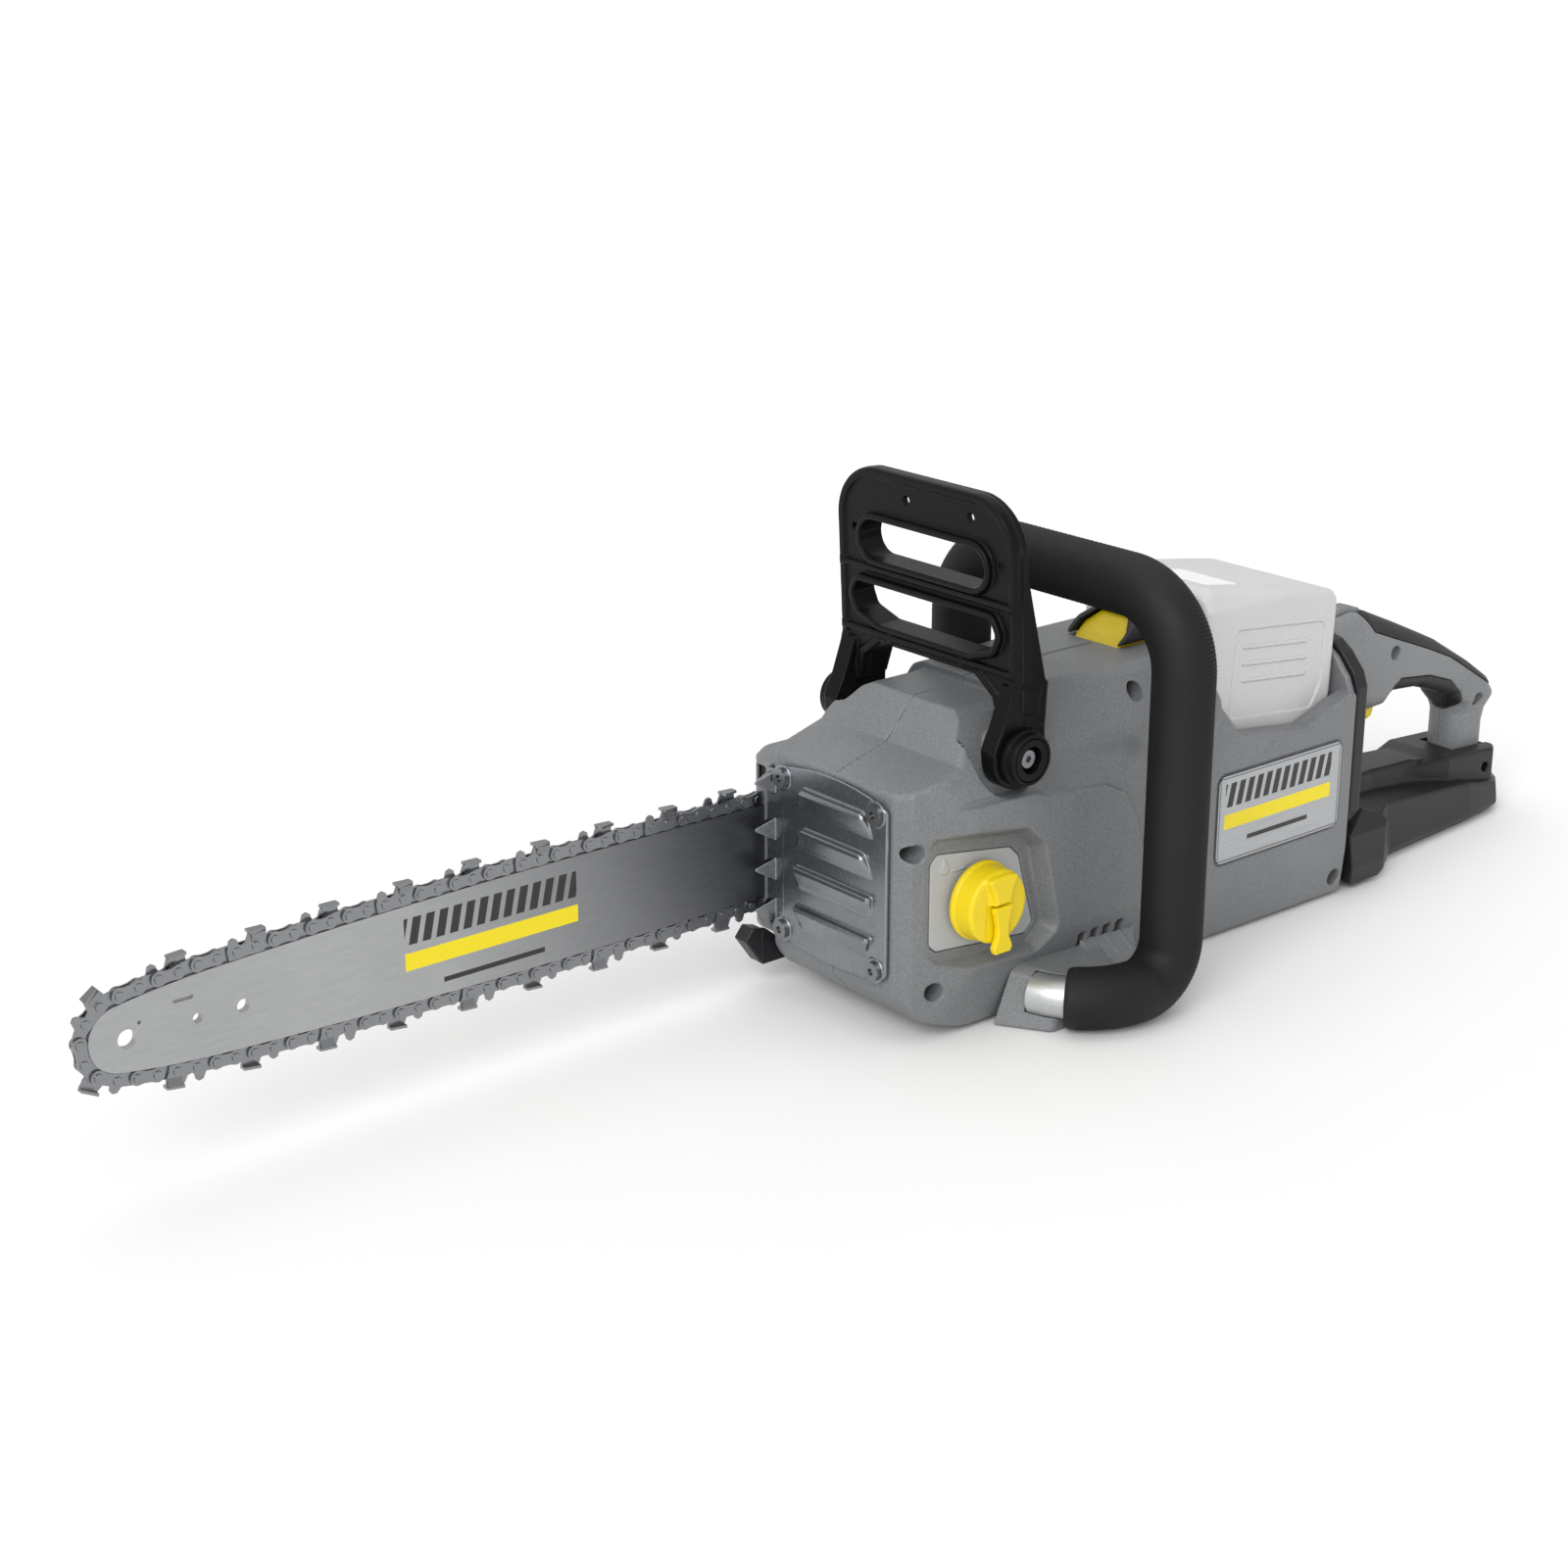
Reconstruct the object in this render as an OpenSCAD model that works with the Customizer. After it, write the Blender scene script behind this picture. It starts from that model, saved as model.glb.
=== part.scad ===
/* [Body] */
// X of the front face of the body
front_x = -104; // [-120:0.5:-90]
// X of the rear face of the body
rear_x = 217.5; // [215:0.5:250]
// largest half width of the body
half_w = 61; // [50:0.5:70]
// half width of the body beside the guide bar
bar_side_y = 49; // [44:0.5:52]
// half width of the body beside the battery
bay_side_y = 57; // [52:0.5:62]
// height of the flat top of the body
top_z = 160; // [150:0.5:170]
// thickness of the moulded walls
wall = 3; // [2:0.1:5]

/* [Guide bar] */
// Y of the middle plane of the guide bar
bar_y = 54; // [50:0.1:60]
// height of the bar centre line above the ground
bar_z = 71.9; // [60:0.1:80]
// thickness of the guide bar
bar_t = 4; // [3:0.1:5]
// width of the groove in the bar rails
groove_w = 1.5; // [1:0.1:2]
// depth of the groove in the bar rails
groove_d = 6; // [4:0.1:9]
// X of the tail end of the bar
bar_tail_x = -62; // [-80:0.5:-50]
// distance from the bar rail to the rivet line of the chain
rail_off = 3.6; // [3:0.1:5]

/* [Chain] */
// chain pitch, the mean spacing of the rivets
pitch = 9.32; // [8:0.01:10]
// number of drive links in the loop
drive_count = 52; // [40:1:60]
// half height of the rivet line at the widest point of the bar
line_half = 28.5; // [24:0.1:32]
// thickness of a drive link
drive_t = 1.2; // [1:0.05:2]
// thickness of the outer links
strap_t = 1.15; // [0.8:0.05:1.6]

/* [Drive] */
// X of the motor shaft and sprocket
shaft_x = -34.69; // [-60:0.01:0]
// tooth count of the drive sprocket
sprocket_teeth = 8; // [6:1:9]
// outer radius of the stator
stator_r = 30; // [24:0.5:34]
// outer radius of the rotor
rotor_r = 17; // [12:0.5:20]
// radius of the motor shaft
shaft_r = 4; // [3:0.1:6]

/* [Hand guard] */
// X of the guard pivot
pivot_x = -40; // [-50:0.5:-30]
// height of the guard pivot
pivot_z = 137.5; // [130:0.5:145]
// half width of the guard
guard_half = 62; // [55:0.5:66]
// height of the guard top edge
guard_top = 261; // [250:1:275]
// forward lean of the guard in degrees
guard_lean = 3; // [0:0.5:20]

/* [Front handle] */
// outer diameter of the handle grip
grip_d = 31; // [26:0.5:34]
// outer diameter of the metal tube inside the grip
tube_d = 21; // [16:0.5:24]

/* [Oil] */
// X of the oil cap centre
cap_x = -58.5; // [-65:0.5:-45]
// height of the oil cap centre
cap_z = 67.5; // [60:0.5:75]
// radius of the oil cap
cap_r = 20; // [16:0.5:24]

/* [Battery] */
// X of the battery front face
batt_x0 = 110; // [104:0.5:116]
// X of the battery rear face
batt_x1 = 211; // [200:0.5:216]
// half width of the battery
batt_half = 45; // [40:0.5:48]
// height of the battery underside
batt_z0 = 62; // [50:0.5:80]
// height of the battery top at the front
batt_z1 = 188; // [170:0.5:195]
// height of the battery top at the rear
batt_z2 = 172; // [160:0.5:180]

/* [Rear handle] */
// height of the handle top at the body
handle_z = 140; // [130:0.5:150]
// half width of the handle
handle_half = 17; // [14:0.5:20]
// X of the rear end of the base
base_end = 410; // [395:1:420]

/* [Output] */
// which sub-part is drawn

/* [Hidden] */
e = 0.4;

// ---- helpers: extrusions along Y and along X
module along_y(y0, y1) translate([0, y1, 0]) rotate([90, 0, 0])
  linear_extrude(height = y1 - y0) children();
module along_x(x0, x1) translate([x0, 0, 0]) rotate([90, 0, 90])
  linear_extrude(height = x1 - x0) children();
module box(a, b) translate(a) cube([b[0] - a[0], b[1] - a[1], b[2] - a[2]]);
module rod_y(x, z, r, y0, y1, f = 48) translate([x, y1, z]) rotate([90, 0, 0])
  cylinder(r = r, h = y1 - y0, $fn = f);
module rod_x(y, z, r, x0, x1, f = 32) translate([x0, y, z]) rotate([0, 90, 0])
  cylinder(r = r, h = x1 - x0, $fn = f);
module ring_y(x, z, r1, r0, y0, y1, f = 48) along_y(y0, y1) translate([x, z])
  difference() { circle(r = r1, $fn = f); circle(r = r0, $fn = f); }
module round_sq(x0, y0, x1, y1, r) {
  translate([x0 + r, y0]) square([x1 - x0 - 2 * r, y1 - y0]);
  translate([x0, y0 + r]) square([x1 - x0, y1 - y0 - 2 * r]);
  for (x = [x0 + r, x1 - r]) for (y = [y0 + r, y1 - r]) translate([x, y]) circle(r = r, $fn = 24);
}

// ---- body envelope; t is the inset used for the hollow inside
module plan(t, right) {
  s = right ? bar_side_y - t : 0;
  polygon([[front_x + t, right ? -1 : -42 + t], [front_x + 2 + t, right ? -1 : -44 + t],
    [-98 + t, right ? -1 : -51 + t], [-66, right ? -1 : -half_w + t], [0, right ? -1 : -62 + t],
    [90, right ? -1 : -59 + t], [rear_x - t, right ? -1 : -bay_side_y + t],
    [rear_x - t, right ? bay_side_y - t : 1], [60, right ? 60 - t : 1], [50, right ? s : 1],
    [-98 + t, right ? s : 1], [front_x + t, right ? 44 - t : 1]]);
}
module side_face(t) polygon([[front_x + t, 24 + t / 2], [-92 + t, 11 + t], [-62, t], [rear_x - t, t],
  [rear_x - t, 117 - t], [212, 116.5 - t], [178, 105 - t], [124, 112 - t], [107, 131 - t],
  [104.5 - t / 4, top_z - t], [-49 + t, top_z - t], [-70 + t, 136 - t],
  [front_x + t, 126 - t]]);
module section(t) polygon([[-50 + t, t], [-55 + t, 3 + t], [-58 + t, 22], [-62 + t, 40], [-62 + t, 112],
  [-54 + t, 134], [-38 + t, 156 - t], [-30, top_z - t], [30, top_z - t], [38 - t, 156 - t],
  [54 - t, 134], [62 - t, 112], [62 - t, 40], [58 - t, 22], [55 - t, 3 + t], [50 - t, t]]);
module envelope(t, right) intersection() {
  linear_extrude(height = 170) plan(t, right);
  along_y(-70, 70) side_face(t);
  along_x(-120, 250) section(t);
}
// battery bay, open at the top
module bay() box([batt_x0 - 2, -batt_half - 1, batt_z0 - 1.5], [batt_x1 + 2, batt_half + 1, 200]);
module bay_box() box([batt_x0 - 2 - wall, -batt_half - 1 - wall, batt_z0 - 1.5 - wall],
  [batt_x1 + 2 + wall, batt_half + 1 + wall, 200]);
module shell(right) difference() {
  envelope(0, right);
  difference() { envelope(wall, right); bay_box(); }
  bay();
}
screw_sites = [[-96, 98], [-86, 26], [52, 148], [209, 12]];
stud_x = [-88, -73];
module bosses(r, right) intersection() {
  envelope(0, right);
  union() for (s = screw_sites) rod_y(s[0], s[1], r, -62, 62);
}
module rear_arch() along_x(batt_x1 + 2, rear_x)
  polygon([[-55, 60], [-55.5, 116], [-52, 124], [-43.5, 134], [-37, 138.5], [-27, 141], [27, 141],
    [37, 138.5], [43.5, 134], [52, 124], [55.5, 116], [55, 60]]);
module pivot_pocket(s) translate([pivot_x, s * 51.5, pivot_z]) rotate([-90 * s, 0, 0])
  cylinder(r = 21, h = 20, $fn = 64);
module left_housing() color("#7d7f80") difference() {
  union() {
    shell(false);
    bosses(6, false);
    intersection() {
      envelope(0, false);
      box([-94, -62, 33], [-10, -48.5, 104]);
    }
    rear_arch();
    rod_y(pivot_x, pivot_z, 8, -51.5, -32);
    for (x = [14, 84]) box([x, -57, 2], [x + 6, 0, 10]);
    box([70, -20, 140], [106, 0, 143]);
  }
  box([-150, 0, -10], [300, 75, 200]);
  for (s = screw_sites) {
    rod_y(s[0], s[1], 4.6, -75, -33);
    rod_y(s[0], s[1], 2.2, -34, 1);
  }
  oil_recess();
  rod_y(cap_x, cap_z, 14.6, -60, -44);
  for (i = [0:3]) box([6 + i * 9, -64, 14], [11 + i * 9, -50, 34]);
  along_y(-60, -56.8) round_sq(108, 43.6, 206, 92.4, 5);
  rod_y(pivot_x, pivot_z, 2.6, -70, -20);
  pivot_pocket(-1);
  for (z = [36.3, 116]) rod_x(-34.4, z, 1.95, front_x - 2, front_x + 14);
  release_opening();
}
module right_housing() color("#7a7c7d") difference() {
  union() {
    shell(true);
    bosses(6, true);
    rear_arch();
    rod_y(pivot_x, pivot_z, 8, 32, 50);
    translate([30, 54, 119.3]) cylinder(r = 16, h = 18, $fn = 48);
    box([14, 30, 119.3], [46, 50, 131]);
    for (x = [14, 84]) box([x, 0, 2], [x + 6, 46.5, 10]);
    box([70, 0, 140], [106, 20, 143]);
  }
  box([-150, -75, -10], [300, 0, 200]);
  for (s = screw_sites) rod_y(s[0], s[1], 1.95, -1, 24);
  rod_y(shaft_x, bar_z, 26, 38, 55);
  rod_y(pivot_x, pivot_z, 2.6, 20, 70);
  pivot_pocket(1);
  for (x = stud_x) rod_y(x, bar_z, 4.02, 30, 55);
  for (z = [36.3, 116]) rod_x(34.4, z, 1.95, front_x - 2, front_x + 14);
  release_opening();
  translate([30, 54, 121]) cylinder(r = tube_d / 2 + 0.02, h = 30, $fn = 48);
  translate([30, 54, 137.4]) cylinder(r = grip_d / 2 + 0.5, h = 60, $fn = 48);
}
module release_opening() box([73, -17, 143], [101, 17, 180]);
module socket_screw(r, h, hr, hh) difference() {
  union() {
    cylinder(r = r, h = h, $fn = 24);
    translate([0, 0, h - 0.01]) cylinder(r = hr, h = hh, $fn = 32);
  }
  for (a = [0, 60, 120]) rotate([0, 0, a]) translate([-1.9, -0.55, h + hh - 1.6]) cube([3.8, 1.1, 4]);
}
module body_screws() color("#3b3d40") for (s = screw_sites)
  translate([s[0], 20, s[1]]) rotate([90, 0, 0]) socket_screw(1.9, 53.1, 3.9, 3);

// ---- bumper plate at the front
plate_pts = [[-42, 34], [-42, 119], [-32, 122.4], [-20, 124.6], [-8, 125.6], [4, 125.6],
  [16, 124.8], [28, 123], [37, 120.6], [37, 33.5], [24, 30.5], [8, 29], [-10, 28.8], [-26, 30]];
module rib(z, lo, hi) intersection() {
  along_y(-40, 40) polygon([[-106.3, z - 13], [-109.8, z - 3], [-109.4, z - 0.8], [-106.3, z]]);
  along_x(-112, -106.2)
    polygon([[-lo - 4, z - 14], [-hi - 4, z + 1], [hi - 4, z + 1], [lo - 4, z - 14]]);
}
module spike() rotate([0, -90, 0]) linear_extrude(height = 11, scale = 0.1)
  polygon([[-7, -3.4], [5, -3.4], [3, 3.4], [-7, 3.4]]);
module bumper_plate() color("#9ea2a4") difference() {
  union() {
    along_x(-106.4, -104.4) polygon(plate_pts);
    rib(115, 30, 22);
    rib(94.5, 30, 22);
    rib(74, 27, 29);
    rib(53, 24, 29);
    box([-106.4, 36, 38], [-104.4, 46.3, 118]);
    for (z = [113, 88.5, 67.5, 46]) translate([-106.3, 42.8, z]) spike();
  }
  for (y = [-34.4, 34.4]) for (z = [36.3, 116]) rod_x(y, z, 2.1, -110, -100);
}
module torx_screws() color("#8c9094") {
  for (y = [-34.4, 34.4]) for (z = [36.3, 116])
    translate([front_x + 12, y, z]) rotate([0, -90, 0]) socket_screw(1.9, 14.43, 4.8, 2.6);
  for (s = [-1, 1]) translate([pivot_x, s * 38, pivot_z]) rotate([-90 * s, 0, 0])
    socket_screw(2.5, 27, 4.4, 2.6);
}
module chain_catcher() color("#1d1e20") {
  along_y(49.3, 59) polygon([[-118, 27], [-113, 33], [-106, 31], [-106, 12], [-108, 13]]);
  along_y(49.3, 52.3) polygon([[-106, 31], [-104.6, 31], [-97.5, 25], [-84, 23], [-90, 12],
    [-106, 12]]);
}

// ---- bar outline: three tangent arcs from the belly to the nose tip, given as
// [x, height above the centre line]; g is the inward offset from the rivet line
belly_x = -215;
r_belly = 4000;
r_mid = 400;
r_nose = 19;
a1 = 2.768;
a2 = 6.803;
x1 = r_belly * sin(a1);
x2 = x1 + r_mid * (sin(a1 + a2) - sin(a1));
z1 = r_belly * (1 - cos(a1));
z2 = z1 + r_mid * (cos(a1) - cos(a1 + a2));
z3 = z2 + r_nose * cos(a1 + a2);
tail_x = -84;
r_tail = 9000;
sprocket_rp = sprocket_teeth * pitch / PI;
function tail_pts(g) = [for (i = [6:-1:1]) let (x = (tail_x - belly_x) * i / 6)
  [belly_x + x, z3 - g - x * x / (2 * r_tail)]];
function belly_pts(g) = [for (i = [0:24]) let (a = a1 * i / 24)
  [belly_x - (r_belly - g) * sin(a), z3 - g - (r_belly - g) * (1 - cos(a))]];
function mid_pts(g) = [for (i = [1:12]) let (a = a1 + a2 * i / 12)
  [belly_x - x1 - r_mid * (sin(a) - sin(a1)) + g * sin(a),
   z3 - z1 - r_mid * (cos(a1) - cos(a)) - g * cos(a)]];
function nose_pts(g) = [for (i = [1:24]) let (a = a1 + a2 + (90 - a1 - a2) * i / 24)
  [belly_x - x2 - r_nose * (sin(a) - sin(a1 + a2)) + g * sin(a), (r_nose - g) * cos(a)]];
function upper(g) = concat(tail_pts(g), belly_pts(g), mid_pts(g), nose_pts(g));
function flip(v) = [for (i = [len(v) - 2:-1:0]) [v[i][0], -v[i][1]]];
function back(v) = [for (i = [len(v) - 2:-1:0]) v[i]];
// closed rivet loop: round the sprocket, along the bottom, round the nose, back along the top
line = upper(0);
t0 = line[0];
t_len = norm([t0[0] - shaft_x, t0[1]]);
wrap_a = atan2(t0[1], t0[0] - shaft_x) - acos(sprocket_rp / t_len);
wrap = [for (i = [0:48]) let (a = wrap_a - 2 * wrap_a * i / 48)
  [shaft_x + sprocket_rp * cos(a), sprocket_rp * sin(a)]];
loop = concat(wrap, [for (p = line) [p[0], -p[1]]], back(line));
n_loop = len(loop);
function seg(i) = norm(loop[(i + 1) % n_loop] - loop[i]);
function run(i, s) = i >= n_loop ? [] : concat([s], run(i + 1, s + seg(i)));
cum = run(0, 0);
total = cum[n_loop - 1] + seg(n_loop - 1);
function find(s, lo, hi) = hi - lo <= 1 ? lo :
  let (m = floor((lo + hi) / 2)) cum[m] <= s ? find(s, m, hi) : find(s, lo, m);
function at(s0) = let (s = s0 - total * floor(s0 / total), i = find(s, 0, n_loop), t = (s - cum[i]) / seg(i))
  loop[i] + (loop[(i + 1) % n_loop] - loop[i]) * t;
function walk(s, k) = k == 0 ? [] :
  let (p = at(s), q = at(s + pitch)) concat([p], walk(s + pitch * pitch / norm(q - p), k - 1));
rivet_at = walk(0, 2 * drive_count);
function rv(i) = rivet_at[(i + 2 * drive_count) % (2 * drive_count)];
module on_link(i) {
  p = rv(i);
  q = rv(i + 1);
  translate([p[0], bar_y, bar_z + p[1]]) rotate([0, -atan2(q[1] - p[1], q[0] - p[0]), 0]) children();
}
module bar_shape(g) {
  v = upper(g);
  polygon(concat([[bar_tail_x - g + rail_off, 0], [bar_tail_x - 2 - g + rail_off, 13 - g + rail_off],
    [-72, 21.5 - g + rail_off]], v, flip(v),
    [[-72, -21.5 + g - rail_off], [bar_tail_x - 2 - g + rail_off, -13 + g - rail_off]]));
}
module guide_bar() color("#a7abac") difference() {
  union() {
    along_y(bar_y - bar_t / 2, bar_y - groove_w / 2) translate([0, bar_z]) bar_shape(rail_off);
    along_y(bar_y - groove_w / 2, bar_y + groove_w / 2) translate([0, bar_z])
      bar_shape(rail_off + groove_d);
    along_y(bar_y + groove_w / 2, bar_y + bar_t / 2) translate([0, bar_z]) bar_shape(rail_off);
  }
  along_y(40, 70) translate([0, bar_z]) {
    translate([-93, -4.05]) square([25.5, 8.1]);
    for (z = [-12, 12]) translate([-80, z]) circle(r = 2.6, $fn = 24);
    translate([-450, -0.8]) circle(r = 4.4, $fn = 36);
    translate([-444, 5.2]) circle(r = 0.9, $fn = 16);
    translate([-417, -0.6]) circle(r = 2.3, $fn = 24);
    translate([-395, -1]) circle(r = 3.1, $fn = 24);
    translate([-427, 9.2]) square([8, 1.8]);
    for (x = [-427, -419]) translate([x, 10.1]) circle(r = 0.9, $fn = 16);
  }
}
module bar_pad() color("#8a8e90") along_y(49, 52) translate([0, bar_z]) difference() {
  union() {
    translate([-102, -19]) square([36, 38]);
    translate([-66, -15]) square([4, 30]);
  }
  for (x = stud_x) translate([x, 0]) circle(r = 4.02, $fn = 36);
  translate([-83.2, -12]) square([12.4, 6], center = true);
}
module bar_studs() color("#b9bcbe") for (x = stud_x) {
  rod_y(x, bar_z, 4, 38, 72, 36);
  rod_y(x, bar_z, 7, 34, 38, 36);
}
module bar_nuts() color("#9a9da0") for (x = stud_x) along_y(64, 71) translate([x, bar_z])
  difference() {
    circle(r = 7.6, $fn = 6);
    circle(r = 4.02, $fn = 36);
  }
module tension_pin() color("#b0b3b5") {
  box([-88.6, 46.5 + 2.6, bar_z - 14.8], [-79.4, 51.9, bar_z - 9.2]);
  rod_y(-80.1, bar_z - 12, 2.4, 51.8, 55.5, 24);
}
module tension_screw() color("#b0b3b5") difference() {
  union() {
    rod_y(-56, bar_z - 43, 2.5, 50, 83, 24);
    rod_y(-56, bar_z - 43, 5, 82.9, 85.6, 32);
  }
  box([-62, 84.6, bar_z - 43.5], [-50, 87, bar_z - 42.5]);
}

// ---- chain pieces in link coordinates: first rivet at 0, second at pitch, Z outward
module link_plate(y0, y1, hole) along_y(y0, y1) difference() {
  union() {
    for (x = [0, pitch]) translate([x, 0]) circle(r = 3.4, $fn = 28);
    polygon([[0, -3.4], [pitch / 2 - 1.5, -2.8], [pitch / 2 + 1.5, -2.8], [pitch, -3.4],
      [pitch, 3.4], [pitch / 2 + 1.5, 2.7], [pitch / 2 - 1.5, 2.7], [0, 3.4]]);
  }
  for (x = [0, pitch]) translate([x, 0]) circle(r = hole, $fn = 20);
}
module drive_link() along_y(-drive_t / 2, drive_t / 2) difference() {
  polygon([[-3.3, 0], [-2.5, 2.4], [0, 3.3], [pitch, 3.3], [11.8, 2.4], [12.6, 0], [11.3, -3.4],
    [9.6, -5], [7.4, -8], [5.4, -8.9], [3.8, -8.6], [1.6, -6], [-1.6, -3.4]]);
  for (x = [0, pitch]) translate([x, 0]) circle(r = 1.6, $fn = 20);
}
module drive_links() color("#6f7376") for (i = [0:drive_count - 1]) on_link(2 * i) drive_link();
module tie_straps() color("#8b8f92") for (i = [0:drive_count - 1]) on_link(2 * i + 1) {
  if (i % 4 != 0) link_plate(-0.65 - strap_t, -0.65, 1.6);
  if (i % 4 != 2) link_plate(0.65, 0.65 + strap_t, 1.6);
}
module cutter(s) {
  mirror([0, s > 0 ? 1 : 0, 0]) {
    along_y(-0.65 - strap_t, -0.65) difference() {
      polygon([[-4.2, -3.2], [1, -3.4], [pitch / 2, -3], [pitch, -3.4], [13.2, -3.2], [13.6, 0],
        [14.6, 2.5], [14.6, 6.4], [6.6, 7.4], [5.8, 5.4], [4.6, 2.8], [2.6, 2.2], [1.2, 3.2],
        [0.6, 5.6], [-1, 6.6], [-3, 5.8], [-4.6, 1.5]]);
      for (x = [0, pitch]) translate([x, 0]) circle(r = 1.6, $fn = 20);
    }
    translate([0, 0, 6.3]) linear_extrude(height = 1.3)
      polygon([[6.5, -3.2], [6.9, 2.6], [14.6, 1.4], [14.6, -2.4], [12, -2.8]]);
    along_x(7.4, 14.2) polygon([[-3.2, 6.4], [-1.8, 6.4], [-1.8, 2.5]]);
  }
}
module cutters_left() color("#a5a8aa") for (i = [0:4:drive_count - 1]) on_link(2 * i + 1) cutter(-1);
module cutters_right() color("#a5a8aa") for (i = [2:4:drive_count - 1]) on_link(2 * i + 1) cutter(1);
module chain_rivets() color("#c3c6c8") for (i = [0:2 * drive_count - 1]) let (p = rv(i))
  translate([p[0], bar_y, bar_z + p[1]]) rotate([90, 0, 0]) rotate_extrude($fn = 20)
    polygon([[0, -2.35], [1.9, -2.35], [2.1, -1.83], [1.45, -1.83], [1.45, 1.83], [2.1, 1.83],
      [1.9, 2.35], [0, 2.35]]);

// ---- drive sprocket, motor and brake
tooth_a = let (p = (rv(1) + rv(2)) / 2) atan2(p[1], p[0] - shaft_x);
module drive_sprocket() color("#6b6e71") difference() {
  union() {
    rod_y(shaft_x, bar_z, 19.3, bar_y - 3.6, bar_y - 1.9, 64);
    rod_y(shaft_x, bar_z, 19.3, bar_y + 1.9, bar_y + 3.6, 64);
    rod_y(shaft_x, bar_z, 13.4, bar_y - 3.7, bar_y + 3.7, 64);
    for (i = [0:7]) translate([shaft_x, bar_y, bar_z]) rotate([0, -tooth_a - 45 * i, 0])
      along_y(-2, 2) polygon([[12, -2.6], [19.3, -0.9], [19.3, 0.9], [12, 2.6]]);
  }
  rod_y(shaft_x, bar_z, shaft_r, 40, 70, 48);
}
module motor_shaft() color("#b4b7b9") {
  rod_y(shaft_x, bar_z, shaft_r, -36.8, 62);
  rod_y(shaft_x, bar_z, 5.5, 28, 35);
}
module rotor_core() color("#4a4d50") ring_y(shaft_x, bar_z, rotor_r, shaft_r, -20, 16, 64);
module spin(n) for (i = [0:n - 1]) translate([shaft_x, 0, bar_z]) rotate([0, 360 * i / n, 0]) children();
module cooling_fan() color("#26282a") {
  ring_y(shaft_x, bar_z, 26, shaft_r, -32.5, -31, 64);
  ring_y(shaft_x, bar_z, 8, shaft_r, -36.5, -32.5);
  spin(9) rotate([0, 12, 0]) box([8, -36.5, -0.8], [25, -32.4, 0.8]);
}
module motor_stator() color("#5b5e61") {
  ring_y(shaft_x, bar_z, stator_r, 25, -22, 18, 72);
  spin(6) intersection() {
    box([17.2, -22, -7], [25.2, 18, 7]);
    union() {
      box([19.4, -22, -2.2], [25.2, 18, 2.2]);
      along_y(-22, 18) difference() {
        intersection() {
          circle(r = 19.5, $fn = 64);
          polygon([[0, 0], [30, -9], [30, 9]]);
        }
        circle(r = 17.6, $fn = 64);
      }
    }
  }
}
module stator_coils() color("#b5642d") spin(6) difference() {
  box([19.8, -25.5, -4.6], [24.2, 21.5, 4.6]);
  box([19, -22.3, -2.5], [26, 18.3, 2.5]);
}
module shaft_bearings() color("#c6c9cb") for (y = [-29.5, 19.8])
  ring_y(shaft_x, bar_z, 11, shaft_r, y, y + 5.6);
module motor_bracket() color("#8b8e90") {
  ring_y(shaft_x, bar_z, 33, stator_r, -29.5, 25.6, 72);
  for (y = [-29.5, 22.6]) difference() {
    ring_y(shaft_x, bar_z, 30.1, 11, y, y + 3, 72);
    spin(6) rod_y(21, 0, 5, -40, 40, 24);
  }
}
module brake_drum() color("#76797b") {
  ring_y(shaft_x, bar_z, 22, 19.5, 39.5, 48);
  ring_y(shaft_x, bar_z, 22, shaft_r, 37.5, 39.6);
}
module brake_band() color("#3c3e40") difference() {
  ring_y(shaft_x, bar_z, 23.6, 22.7, 40, 47.5, 72);
  along_y(30, 60) translate([shaft_x, bar_z]) polygon([[0, 0], [-30, 14], [-30, 26]]);
}
module brake_spring() color("#a9acae") for (i = [0:6])
  translate([-6 + i * 3, 36, 112]) rotate([0, 90, 0]) rotate_extrude($fn = 32)
    translate([4, 0]) circle(r = 0.8, $fn = 16);
module oil_pump() color("#8f9294") difference() {
  union() {
    box([-50, 27, 55], [-38.8, 36.8, 67]);
    box([-50, 30, 52], [-44, 36, 56]);
  }
  rod_x(31.5, 61.9, 2.55, -55, -30);
}
module pump_gear() color("#d9d7cf") {
  rod_x(31.5, 61.9, 2.5, -50, -31.2, 32);
  rod_x(31.5, 61.9, 4.2, -37.6, -31.8, 32);
}
module oil_hose() color("#2a2b2d") {
  rod_y(-74, 46.5, 2.4, -36.9, 33, 24);
  rod_x(33, 46.5, 2.4, -74, -47, 24);
  translate([-47, 33, 46.5]) cylinder(r = 2.4, h = 5.4, $fn = 24);
  for (x = [-74, -47]) translate([x, 33, 46.5]) sphere(r = 2.4, $fn = 24);
}

// ---- hand guard
module guard_outline() {
  round_sq(-guard_half, 190, guard_half, guard_top, 27);
  polygon([[-guard_half, 150], [-guard_half, 236], [guard_half, 236], [guard_half, 150], [50, 150],
    [46, 164], [34, 173], [-34, 173], [-46, 164], [-50, 150]]);
}
module guard_inset() {
  round_sq(-guard_half + 4, 186, guard_half - 4, guard_top - 4, 23);
  polygon([[-guard_half + 4, 146], [-guard_half + 4, 236], [guard_half - 4, 236],
    [guard_half - 4, 146], [54, 146], [49, 167], [36, 177], [-36, 177], [-49, 167], [-54, 146]]);
}
module upper_window(g) round_sq(-44 - g, 216 - g, 44 + g, 236 + g, 9.9 + g);
module lower_window(g) {
  polygon([[-44 - g, 196], [-40, 203 + g], [40, 203 + g], [44 + g, 196], [42 + g, 190], [32, 183 - g],
    [-32, 183 - g], [-42 - g, 190]]);
  for (s = [-1, 1]) {
    translate([s * 37, 196]) circle(r = 7 + g, $fn = 32);
    translate([s * 32, 191]) circle(r = 8 + g, $fn = 32);
  }
}
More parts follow.
